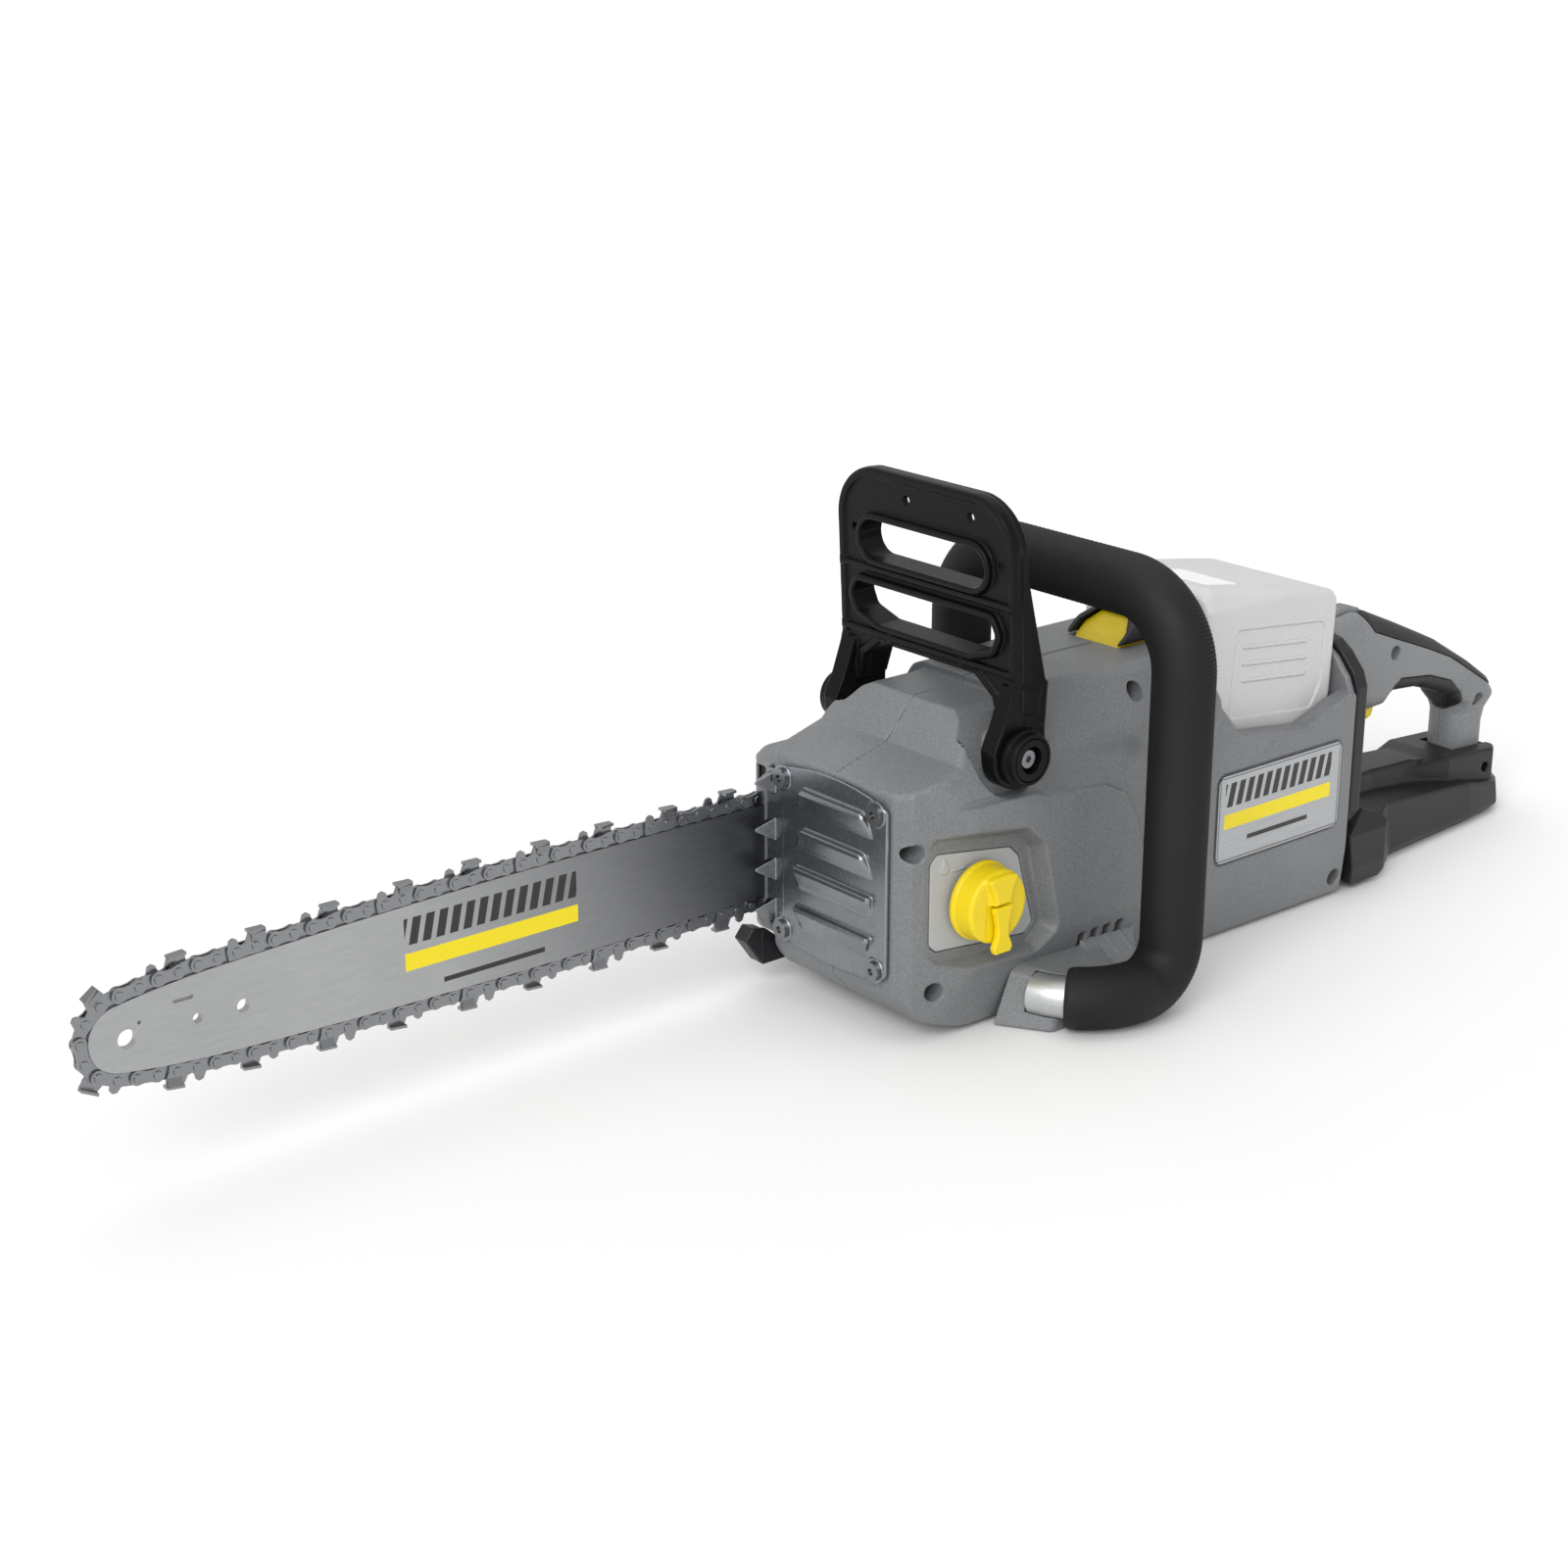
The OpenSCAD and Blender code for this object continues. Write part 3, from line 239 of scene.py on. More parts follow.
class Mat:
    def __init__(self, name, slot=None, **sockets):
        m = bpy.data.materials.new(name)
        m.use_nodes = True
        self.t = m.node_tree
        self.bsdf = self.t.nodes["Principled BSDF"]
        for k, v in sockets.items():
            self.bsdf.inputs[k.replace("_", " ")].default_value = v
        co = self.t.nodes.new("ShaderNodeTexCoord")
        self.pos = co.outputs["Object"]
        MATS[name] = m

    def node(self, kind, **props):
        n = self.t.nodes.new("ShaderNode" + kind)
        for k, v in props.items():
            if k in n.inputs:
                n.inputs[k].default_value = v
            elif hasattr(n, k):
                setattr(n, k, v)
            else:
                n.inputs[k.replace("_", " ")].default_value = v
        return n

    def link(self, a, b):
        self.t.links.new(a, b)

    def stretch(self, scale):
        n = self.node("Mapping")
        n.inputs["Scale"].default_value = scale
        self.link(self.pos, n.inputs["Vector"])
        return n.outputs["Vector"]

    def noise(self, scale, detail=3.0, rough=0.5, vec=None):
        n = self.node("TexNoise", Scale=scale, Detail=detail, Roughness=rough)
        self.link(vec or self.pos, n.inputs["Vector"])
        return n.outputs["Fac"]

    def cells(self, scale):
        n = self.node("TexVoronoi", feature="F1", Scale=scale, Randomness=1.0)
        self.link(self.pos, n.inputs["Vector"])
        return n.outputs["Distance"]

    def math(self, op, a, b=None, c=None):
        n = self.node("Math", operation=op)
        for k, v in enumerate((a, b, c)):
            if v is None:
                continue
            if isinstance(v, (int, float)):
                n.inputs[k].default_value = v
            else:
                self.link(v, n.inputs[k])
        return n.outputs[0]

    def mix(self, fac, a, b, blend="MIX"):
        n = self.node("Mix", data_type="RGBA", blend_type=blend)
        for v, k in ((fac, 0), (a, 6), (b, 7)):
            if isinstance(v, (int, float)):
                n.inputs[k].default_value = v
            elif isinstance(v, tuple):
                n.inputs[k].default_value = (*v, 1)
            else:
                self.link(v, n.inputs[k])
        return n.outputs[2]

    def span(self, val, lo, hi, a, b):
        n = self.node("MapRange", clamp=True)
        self.link(val, n.inputs["Value"])
        for k, v in (("From Min", lo), ("From Max", hi), ("To Min", a), ("To Max", b)):
            n.inputs[k].default_value = v
        return n.outputs["Result"]

    def edge(self, lo=0.53, hi=0.62):
        g = self.node("NewGeometry")
        return self.span(g.outputs["Pointiness"], lo, hi, 0.0, 1.0)

    def axes(self):
        s = self.node("SeparateXYZ")
        self.link(self.pos, s.inputs[0])
        return s.outputs

    def between(self, v, lo, hi):
        """1 where lo < v < hi."""
        return self.math("MULTIPLY", self.math("GREATER_THAN", v, lo), self.math("LESS_THAN", v, hi))

    def colour(self, c):
        self.link(c, self.bsdf.inputs["Base Color"])

    def rough(self, v):
        self.link(v, self.bsdf.inputs["Roughness"])

    def bump(self, height, strength=0.3, dist=0.0002, after=None):
        n = self.node("Bump", Strength=strength, Distance=dist)
        self.link(height, n.inputs["Height"])
        if after is not None:
            self.link(after, n.inputs["Normal"])
        self.link(n.outputs["Normal"], self.bsdf.inputs["Normal"])
        return n.outputs["Normal"]


def srgb(h):
    c = [int(h[i:i + 2], 16) / 255 for i in (1, 3, 5)]
    return tuple(x / 12.92 if x <= 0.04045 else ((x + 0.055) / 1.055) ** 2.4 for x in c)


def dim(c, k):
    return tuple(min(1.0, x * k) for x in c)


def moulded(name, base, slot=None, grain=1500.0, rough=(0.42, 0.56), bump=0.25, wear_and_highlight=1.25, spread=0.1,
            sparkle=0.0, **kw):
    """Moulded plastic with a leathery grain, faint flow clouds and edges made paler, partly as wear and
    partly as a painted highlight.
    """
    m = Mat(name, slot, **kw)
    clouds = m.noise(14.0, 3.0)
    fine = m.noise(grain, 2.0, 0.6)
    pebble = m.cells(grain * 0.85)
    c = m.mix(m.span(clouds, 0.3, 0.7, 0.0, 1.0), dim(base, 1 - spread), dim(base, 1 + spread))
    c = m.mix(m.span(fine, 0.35, 0.7, 0.0, 0.5), c, dim(base, 1.18))
    if sparkle:
        speck = m.noise(grain * 0.9, 1.0, 0.5)
        c = m.mix(m.span(speck, 0.32, 0.68, 0.0, 1.0), m.mix(1.0, c, (1 - sparkle,) * 3, "MULTIPLY"),
                  m.mix(1.0, c, (1 + sparkle,) * 3, "MULTIPLY"))
    # painted highlight: edges found by pointiness are lightened, partly standing for wear
    c = m.mix(m.edge(), c, dim(base, wear_and_highlight))
    m.colour(c)
    m.rough(m.span(m.math("ADD", fine, m.math("MULTIPLY", clouds, 0.4)), 0.4, 1.0, rough[1], rough[0]))
    b = m.bump(pebble, bump, 0.00018)
    m.bump(fine, bump * 0.8, 0.00015, b)
    return m


def metal(name, base, rough, grain, wear_and_highlight=1.2, bump=0.08, dirt=0.15):
    """Ground or drawn metal: fine scratches along one way, cloudy gloss, dirt in random clouds."""
    m = Mat(name, Metallic=1.0)
    lines = m.noise(1.0, 4.0, 0.6, m.stretch(grain))
    clouds = m.noise(22.0, 3.0)
    c = m.mix(m.span(lines, 0.3, 0.75, 0.0, 1.0), dim(base, 0.9), dim(base, 1.08))
    c = m.mix(m.span(clouds, 0.5, 0.8, 0.0, dirt), c, dim(base, 0.6))
    # painted highlight: edges found by pointiness are lightened, partly standing for wear
    c = m.mix(m.edge(0.52, 0.6), c, dim(base, wear_and_highlight))
    m.colour(c)
    m.rough(m.span(m.math("ADD", lines, m.math("MULTIPLY", clouds, 0.6)), 0.4, 1.2, *rough))
    m.bump(lines, bump, 0.0001)
    return m


moulded("housing_grey", srgb("#727476"), grain=1050, rough=(0.34, 0.48), bump=0.26, wear_and_highlight=1.5, sparkle=0.13)
moulded("handle_grey", srgb("#7b7d7f"), grain=1050, rough=(0.38, 0.52), bump=0.28, sparkle=0.13)
moulded("black_plastic", srgb("#191a1c"), grain=1300, rough=(0.34, 0.48), bump=0.2, wear_and_highlight=2.2, spread=0.2,
        Specular_IOR_Level=0.4)
# the guard's edges are lightened fivefold: a painted highlight along its rims
moulded("guard_black", srgb("#0d0e0f"), "black_plastic", grain=1100, rough=(0.26, 0.4), bump=0.14, wear_and_highlight=5.0,
        Specular_IOR_Level=0.13)
moulded("black_rubber", srgb("#191a1b"), grain=2200, rough=(0.5, 0.68), bump=0.3, wear_and_highlight=1.8, spread=0.2,
        Specular_IOR_Level=0.3)
moulded("light_grey_plastic", srgb("#abadaf"), grain=1700, rough=(0.38, 0.5), bump=0.15, wear_and_highlight=1.1,
        spread=0.05)
moulded("yellow_plastic", srgb("#e6ca00"), grain=900, rough=(0.34, 0.46), bump=0.08, wear_and_highlight=1.05, spread=0.04)
moulded("pale_plastic", srgb("#c8c6c7"), grain=1300, rough=(0.3, 0.42), bump=0.06, wear_and_highlight=1.05, spread=0.03)
moulded("window_plastic", srgb("#f1f1f2"), "pale_plastic", grain=1300, rough=(0.2, 0.3), bump=0.04,
        spread=0.02)
moulded("tank_plastic", srgb("#d8d8d0"), grain=800, rough=(0.3, 0.42), bump=0.08, wear_and_highlight=1.1, spread=0.06)
moulded("circuit_board", srgb("#245c38"), grain=500, rough=(0.25, 0.45), bump=0.15, spread=0.25)
moulded("cell_wrap", srgb("#2f6190"), grain=300, rough=(0.15, 0.3), bump=0.03, spread=0.1)
metal("chain_steel", (0.27, 0.275, 0.285), rough=(0.16, 0.36), grain=(700, 700, 700), dirt=0.7, wear_and_highlight=1.0)
metal("pressed_steel", (0.27, 0.28, 0.3), rough=(0.22, 0.3), grain=(500, 500, 500), wear_and_highlight=1.5, dirt=0.12,
      bump=0.02)
metal("screw_steel", (0.25, 0.255, 0.265), rough=(0.22, 0.4), grain=(900, 900, 900), dirt=0.3, wear_and_highlight=1.0)
metal("dark_steel", (0.09, 0.093, 0.1), rough=(0.3, 0.5), grain=(900, 900, 900), wear_and_highlight=1.6)
metal("cast_aluminium", (0.6, 0.61, 0.62), rough=(0.35, 0.55), grain=(700, 700, 700), bump=0.2)
metal("copper", (0.72, 0.38, 0.2), rough=(0.2, 0.4), grain=(60, 2500, 60))


def printed(m, base, marks, x0, x1, z_marks, stripe, line):
    """Base colour with a generic print: slanted blocks, a yellow stripe and a short thin line."""
    x, _, z = m.axes()
    lean = m.math("SUBTRACT", x, m.math("MULTIPLY", z, 0.22))
    pitch = (x1 - x0) / marks
    saw = m.math("FRACT", m.math("DIVIDE", m.math("SUBTRACT", lean, x0 - 0.022), pitch))
    zone = m.math("MULTIPLY", m.between(x, x0, x1), m.between(z, *z_marks))
    blocks = m.math("MULTIPLY", zone, m.math("LESS_THAN", saw, 0.62))
    bar = m.math("MULTIPLY", m.between(x, stripe[0], stripe[1]), m.between(z, stripe[2], stripe[3]))
    thin = m.math("MULTIPLY", m.between(x, line[0], line[1]), m.between(z, line[2], line[3]))
    dark = m.math("MAXIMUM", blocks, thin)
    c = m.mix(dark, base, (0.018, 0.018, 0.02))
    c = m.mix(bar, c, srgb("#f2dc00"))
    return c, m.math("MAXIMUM", dark, bar)


def bar_metal():
    m = Mat("bar_steel")
    lines = m.noise(1.0, 5.0, 0.6, m.stretch((90, 700, 700)))
    cloud = m.noise(9.0, 4.0, 0.55)
    base = m.mix(m.span(lines, 0.3, 0.7, 0.0, 1.0), (0.40, 0.405, 0.41), (0.46, 0.465, 0.47))
    base = m.mix(m.span(cloud, 0.45, 0.75, 0.0, 0.25), base, (0.3, 0.305, 0.315))
    # painted shade: the base colour darkens towards the body, standing in for the dimmer reflection near it
    x, _, z = m.axes()
    along = m.math("ADD", x, m.math("MULTIPLY", m.math("SUBTRACT", z, 0.072), 0.5))
    painted_shade_to_body = m.span(along, -0.30, -0.12, 0.0, 1.0)
    base = m.mix(painted_shade_to_body, base, m.mix(1.0, base, (0.26, 0.265, 0.28), "MULTIPLY"))
    c, ink = printed(m, base, 13, -0.313, -0.218, (0.0765, 0.0895), (-0.313, -0.2175, 0.0640, 0.0725),
                     (-0.293, -0.237, 0.0535, 0.0560))
    m.colour(c)
    m.link(m.math("SUBTRACT", 0.85, m.math("MULTIPLY", ink, 0.85)), m.bsdf.inputs["Metallic"])
    m.rough(m.span(m.math("ADD", lines, m.math("MULTIPLY", cloud, 0.5)), 0.45, 1.05, 0.34, 0.5))
    m.bump(lines, 0.05, 0.0001)


bar_metal()


def plate_metal():
    m = Mat("plate_aluminium")
    lines = m.noise(1.0, 4.0, 0.6, m.stretch((30, 1200, 1200)))
    cloud = m.noise(30.0, 3.0)
    base = m.mix(m.span(lines, 0.3, 0.7, 0.0, 1.0), (0.40, 0.41, 0.42), (0.52, 0.53, 0.54))
    c, ink = printed(m, base, 12, 0.1135, 0.1975, (0.0745, 0.0875), (0.1135, 0.1975, 0.0625, 0.0705),
                     (0.132, 0.180, 0.0535, 0.0560))
    x, _, z = m.axes()
    # thin dark outline inside the plate's edge
    dx = m.math("SUBTRACT", 0.0486, m.math("ABSOLUTE", m.math("SUBTRACT", x, 0.157)))
    dz = m.math("SUBTRACT", 0.0240, m.math("ABSOLUTE", m.math("SUBTRACT", z, 0.068)))
    d = m.math("MINIMUM", dx, dz)
    frame_line = m.between(d, 0.0009, 0.0016)
    c = m.mix(frame_line, c, (0.12, 0.12, 0.125))
    m.colour(c)
    m.link(m.math("SUBTRACT", 0.9, m.math("MULTIPLY", m.math("MAXIMUM", ink, frame_line), 0.9)),
           m.bsdf.inputs["Metallic"])
    m.rough(m.span(m.math("ADD", lines, m.math("MULTIPLY", cloud, 0.5)), 0.4, 1.1, 0.3, 0.46))
    m.bump(lines, 0.06, 0.0001)


plate_metal()

SLOTS = {
    "housing_grey": "left_housing right_housing sprocket_cover handle_bracket",
    "handle_grey": "handle_left handle_right lock_off_lever",
    "dark_steel": "body_screws drive_sprocket rotor_core motor_stator brake_drum brake_band",
    "pressed_steel": "bumper_plate bar_pad",
    "screw_steel": "torx_screws bar_studs bar_nuts tension_screw tension_pin motor_shaft shaft_bearings "
                   "brake_spring pump_gear release_spring",
    "black_plastic": "chain_catcher cooling_fan hand_guard pivot_caps terminal_block release_frame "
                     "rear_frame rear_base corner_blocks trigger_switch",
    "bar_steel": "guide_bar",
    "chain_steel": "drive_links cutters_left cutters_right tie_straps chain_rivets",
    "copper": "stator_coils battery_contacts",
    "cast_aluminium": "motor_bracket front_handle_tube oil_pump heat_sink",
    "black_rubber": "front_handle_grip oil_hose handle_grips",
    "tank_plastic": "oil_tank",
    "light_grey_plastic": "oil_plate",
    "yellow_plastic": "oil_cap oil_cap_wing release_button trigger",
    "circuit_board": "control_board",
    "pale_plastic": "battery_shell",
    "cell_wrap": "battery_cells",
    "plate_aluminium": "name_plate",
}
for finish, names in SLOTS.items():
    for n in names.split():
        o = NODES[n]
        if not o.material_slots:
            o.data.materials.append(MATS[finish])
        for s in o.material_slots:
            s.material = MATS[finish]

# -------------- places that pieces share, in mm
PIVOT_X, PIVOT_Z = -40, 137.5           # hand guard's hinge, along y
CAP_X, CAP_Z = -58.5, 67.5              # oil filler's axis, along y
SHAFT_X, SHAFT_Z = -34.69, 71.9         # motor shaft, along y
STUDS_X = (-88, -73)                    # bar studs, level with the shaft
SOCKET_X, SOCKET_Y = 30, 54             # front handle's socket in the right half, upright
REAR_X = 217.5                          # rear face of both body halves
BAY = (108, -46, 60.5), (213, 46, 260)
BUTTON_POCKET = (73, -17, 143), (101, 17, 190)
GROUND_Z = 16                           # height of the front handle's tail
SIDE_Y, TOP_Z = -100, 210               # front handle's left leg and top
BEND_R, FOOT_R, CURL_R = 38, 22, 42     # its upper bends, lower bend and curled tail
CURL_TURN = 52                          # degrees
TAIL_X, CURL_Y = SOCKET_X - FOOT_R, SIDE_Y + CURL_R   # centre that the tail curls round

# -------------- body housings
PLAN_L = [(-104, -42), (-102, -44), (-98, -51), (-66, -62.4), (30, -62.6), (90, -60), (REAR_X, -58),
          (REAR_X, 20), (-104, 20)]
PLAN_R = [(-104, -20), (REAR_X, -20), (REAR_X, 57.5), (60, 60), (50, 49), (-98, 49), (-104, 44)]
SIDE = [(-104, 24), (-92, 11), (-62, 0), (REAR_X, 0), (REAR_X, 117), (212, 116.5), (178, 105), (124, 112),
        (107, 131), (104.5, 160), (-49, 160), (-70, 136), (-104, 126)]
SECTION = [(-50, 0), (-55, 3), (-58, 22), (-62.6, 40), (-62.6, 112), (-54, 134), (-38, 156), (-30, 160),
           (30, 160), (38, 156), (54, 134), (62.6, 112), (62.6, 40), (58, 22), (55, 3), (50, 0)]
ARCH = [(-55, 60), (-55.5, 116), (-52, 124), (-43.5, 134), (-37, 138.5), (-27, 141), (27, 141), (37, 138.5),
        (43.5, 134), (52, 124), (55.5, 116), (55, 60)]
FRONT_PANEL = [(-130, -10), (-130, 118), (-30, 116), (-12, 114), (22, 109), (34, 103), (44, 86), (50, 67),
               (54, 44), (58, -10)]
SCREWS = [(-96, 98), (-86, 26), (52, 148), (209, 12)]
RECESS = [(-92, 46), (-84, 41), (-24, 36.5), (-14, 44), (-24.5, 86), (-34, 95), (-86, 103), (-92, 98)]
OIL_PLATE = [(-88.5, 50), (-84, 46), (-25, 40.2), (-19.6, 45), (-30.4, 82.5), (-36, 88), (-84, 95.5),
             (-88.5, 91)]


def pivot_zone(x, z):
    return join(disc(x, z, PIVOT_X, PIVOT_Z, 21), rect(x, z, -61, 138, -19, 190, 3), 4)


def hull(x, y, z, right):
    plan = outline(x, y, PLAN_R if right else PLAN_L, 3.0)
    # the upper shoulder swells outwards towards the rear of the flat top
    swell = np.clip((x + 15) / 68, 0, 1) ** 1.3 * 6 * np.clip((z - 116) / 14, 0, 1)
    sec = outline(np.abs(y) - swell, z, SECTION, 2.5)
    d = both(both(plan, outline(x, z, SIDE, 3.0), 2.5), sec, 2.5)
    a = y if right else -y
    # below a crease the rear flank leans in
    crease = np.interp(x, (60, 88, 108, 210), (22, 30, 36, 20))
    flank = a - 58.6 + np.maximum(crease - z, 0) * 0.16
    d = both(d, join(flank, x - 66, 2), 0.8)
    if not right:
        # the front side panel stands proud of the rest, with a valley over it
        open_side = a - 57.9 - np.clip((x - 58) / 30, 0, 1) * 0.9 - np.clip((z - 118) / 12, 0, 1) * 5
        d = both(d, join(outline(x, z, FRONT_PANEL, 3), open_side, 3.0), 0.8)
        valley = both(disc(y, z, -65.7, 121, 10.5), slab(x, -24, 44), 7)
        d = cut(d, valley, 3.5)
    return d, sec


def opened_hull(x, y, z, right):
    """One half with the battery bay and the recess round the guard's pivot."""
    d, sec = hull(x, y, z, right)
    d = cut(d, brick(x, y, z, *BAY, 1.5), 1.6)
    return cut(d, both(pivot_zone(x, z), -(sec + 4.5), 1.5), 1.0)


def left_body(x, y, z):
    d = opened_hull(x, y, z, False)
    d = cut(d, both(disc(x, z, PIVOT_X, PIVOT_Z, 21), y + 51.5, 1.0), 0.8)
    deep = np.maximum(-53.4 - y, 0)
    d = cut(d, both(outline(x, z, RECESS, 3) - deep * 0.55, y + 53.4, 1.2), 1.0)
    d = cut(d, both(outline(x, z, OIL_PLATE, 3) - 0.35, y + 50.2), 0.4)
    d = cut(d, rod(x, z, y, CAP_X, CAP_Z, 14.6, -80, -44))
    for sx, sz in SCREWS:
        d = cut(d, rod(x, z, y, sx, sz, 4.6, -80, -33), 1.3)
    # four upright vent slots
    slots = np.minimum(*(rect(np.abs(x - 22), z, u, 14, u + 5, 34, 1.5) for u in (1.8, 10.8)))
    d = cut(d, both(slots, y + 54.0), 0.8)
    d = cut(d, both(rect(x, z, 107.6, 43.2, 206.4, 92.8, 5.2) - np.maximum(-56.9 - y, 0) * 0.5, y + 56.9),
            0.6)
    d = cut(d, brick(x, y, z, *BUTTON_POCKET), 0.8)
    d = join(d, both(outline(y, z, ARCH, 2.5), slab(x, REAR_X - 4.3, REAR_X), 1.2), 0.6)
    d = join(d, rod(x, z, y, PIVOT_X, PIVOT_Z, 8, -51.5, -32), 0.5)
    d = cut(d, rod(x, z, y, PIVOT_X, PIVOT_Z, 2.6, -90, -20))
    return both(d, y + 0.1, 0.45)


def body_hollow(x, y, z, right):
    s = 1 if right else -1
    d = hull(x, y, z, right)[0] + 3.4
    d = cut(d, brick(x, y, z, (104.6, -49.4, 57.1), (216.4, 49.4, 300)))
    d = both(d, slab(y * s, 2.5, 100))
    d = cut(d, rect(x, z, -97, 30, -8, 107, 3) if not right else d * 0 + 9)
    d = cut(d, both(pivot_zone(x, z) - 3, -(outline(y, z, SECTION) + 9)))
    d = cut(d, both(disc(x, z, PIVOT_X, PIVOT_Z, 25), slab(y * s, 46, 90)))
    for sx, sz in SCREWS:
        d = cut(d, disc(x, z, sx, sz, 8))
    d = cut(d, brick(x, y, z, (69, -21, 139), (105, 21, 200)))
    if right:
        d = cut(d, disc(x, z, SHAFT_X, SHAFT_Z, 30))
        d = cut(d, disc(x, y, SOCKET_X, SOCKET_Y, 20))
        d = cut(d, both(rect(x, z, -100, 50, -60, 90), slab(y, 30, 90)))
    else:
        d = cut(d, both(rect(x, z, 1, 8, 43, 40), slab(y, -90, -50)))
        d = cut(d, rect(x, z, 103, 38, 211, 98))
    return d


def right_body(x, y, z):
    d = opened_hull(x, y, z, True)
    d = cut(d, both(disc(x, z, PIVOT_X, PIVOT_Z, 21), 51.5 - y, 1.0), 0.8)
    boss = both(disc(x, y, SOCKET_X, SOCKET_Y, 16), slab(z, 119.3, 137.3), 1.2)
    d = join(d, both(join(boss, brick(x, y, z, (14, 30, 119.3), (46, 50, 131), 2), 2),
                     slab(z, 119.3, 137.3)), 1.5)
    d = cut(d, both(disc(x, y, SOCKET_X, SOCKET_Y, 16), slab(z, 137.4, 260)), 0.3)
    d = cut(d, disc(x, y, SOCKET_X, SOCKET_Y, 10.6) + np.maximum(121 - z, 0) * 4)
    d = cut(d, rod(x, z, y, SHAFT_X, SHAFT_Z, 26, 36.9, 90), 0.6)
    for sx in STUDS_X:
        d = cut(d, rod(x, z, y, sx, SHAFT_Z, 4.1, 33.5, 90))
    d = cut(d, brick(x, y, z, *BUTTON_POCKET), 0.8)
    for k in range(5):
        sx = 74 + k * 9
        d = cut(d, both(outline(x, z, [(sx, 22), (sx + 5, 22), (sx + 15, 48), (sx + 10, 48)], 1.5),
                        55.5 - y), 0.8)
    d = join(d, both(outline(y, z, ARCH, 2.5), slab(x, REAR_X - 4.3, REAR_X), 1.2), 0.6)
    d = join(d, rod(x, z, y, PIVOT_X, PIVOT_Z, 8, 32, 51.5), 0.5)
    d = cut(d, rod(x, z, y, PIVOT_X, PIVOT_Z, 2.6, 20, 90))
    return both(d, 0.1 - y, 0.45)


solid("shell_left", "saw_body", "housing_grey", ["left_housing"], left_body, (-104, -64, 0), (218, 0, 160),
      1.15, lambda x, y, z: body_hollow(x, y, z, False))
solid("shell_right", "saw_body", "housing_grey", ["right_housing"], right_body, (-104, 0, 0),
      (218, 70, 160), 1.3, lambda x, y, z: body_hollow(x, y, z, True))


# -------------- sprocket cover
COVER_PLAN = [(-104, 40), (-104, 58), (-96, 68), (-80, 79), (-64, 84.5), (20, 84.5), (38, 77), (46, 62),
              (46, 40)]
COVER_FACE = [(-104.5, 34), (-97, 26), (-60, 21), (10, 23), (38, 38), (46, 60), (46, 100), (36, 118.6),
              (-104.5, 118.6)]
COVER_SEC = [(40, 20), (40, 119), (74, 119), (85, 108), (85, 34), (72, 20)]


def cover(x, y, z):
    face = outline(x, z, COVER_FACE, 3)
    d = both(both(outline(x, y, COVER_PLAN, 3), face, 3), outline(y, z, COVER_SEC, 3), 3)
    d = both(d, 49.2 - y, 0.3)
    inner = both(outline(x, y, [(a - 2.6, b - 2.6) if b > 50 else (a - 2.6, b) for a, b in COVER_PLAN], 1),
                 face + 2.6, 1)
    inner = both(inner, outline(y, z, inset(COVER_SEC, 2.6), 1), 1)
    posts = np.minimum(*(rod(x, z, y, sx, SHAFT_Z, 11, 56, 99) for sx in STUDS_X))
    d = cut(d, cut(inner, posts, 0.5), 0.3)
    for sx in STUDS_X:
        d = cut(d, rod(x, z, y, sx, SHAFT_Z, 4.3, 30, 99))
        d = cut(d, rod(x, z, y, sx, SHAFT_Z, 9.2, 64, 99), 0.8)
    d = cut(d, rod(x, z, y, -56, 28.9, 2.9, 30, 99))
    d = cut(d, rod(x, z, y, -56, 28.9, 5.4, 82.5, 99), 0.6)
    d = cut(d, brick(x, y, z, (-120, 51.2, 107), (-100, 58.2, 116), 0.6), 0.4)
    # sunk panel with four raised bars on the outer face
    d = cut(d, both(outline(x, z, [(-52, 42), (20, 42), (30, 60), (30, 96), (22, 106), (-52, 106)], 6),
                    84.0 - y, 0.5), 0.8)
    for k in range(4):
        d = join(d, both(rect(x, z, -44, 52 + k * 14, 20, 56 + k * 14, 2), slab(y, 80, 84.6), 0.8), 0.6)
    return d


solid("cover_shell", "saw_body", "housing_grey", ["sprocket_cover"], cover, (-105, 49, 20), (46, 85, 119),
      1.1)


# -------------- hand guard
def leaned(x, z):
    a = math.radians(3)
    dx, dz = x - PIVOT_X, z - PIVOT_Z
    return (dx * math.cos(a) + dz * math.sin(a) + PIVOT_X,
            -dx * math.sin(a) + dz * math.cos(a) + PIVOT_Z)


GUARD_LOW = [(-62, 150), (-62, 236), (62, 236), (62, 150), (50, 150), (46, 164), (34, 173), (-34, 173),
             (-46, 164), (-50, 150)]
WINDOW = [(-51, 196), (-47, 203), (47, 203), (51, 196), (47.5, 188), (32, 183), (-32, 183), (-47.5, 188)]


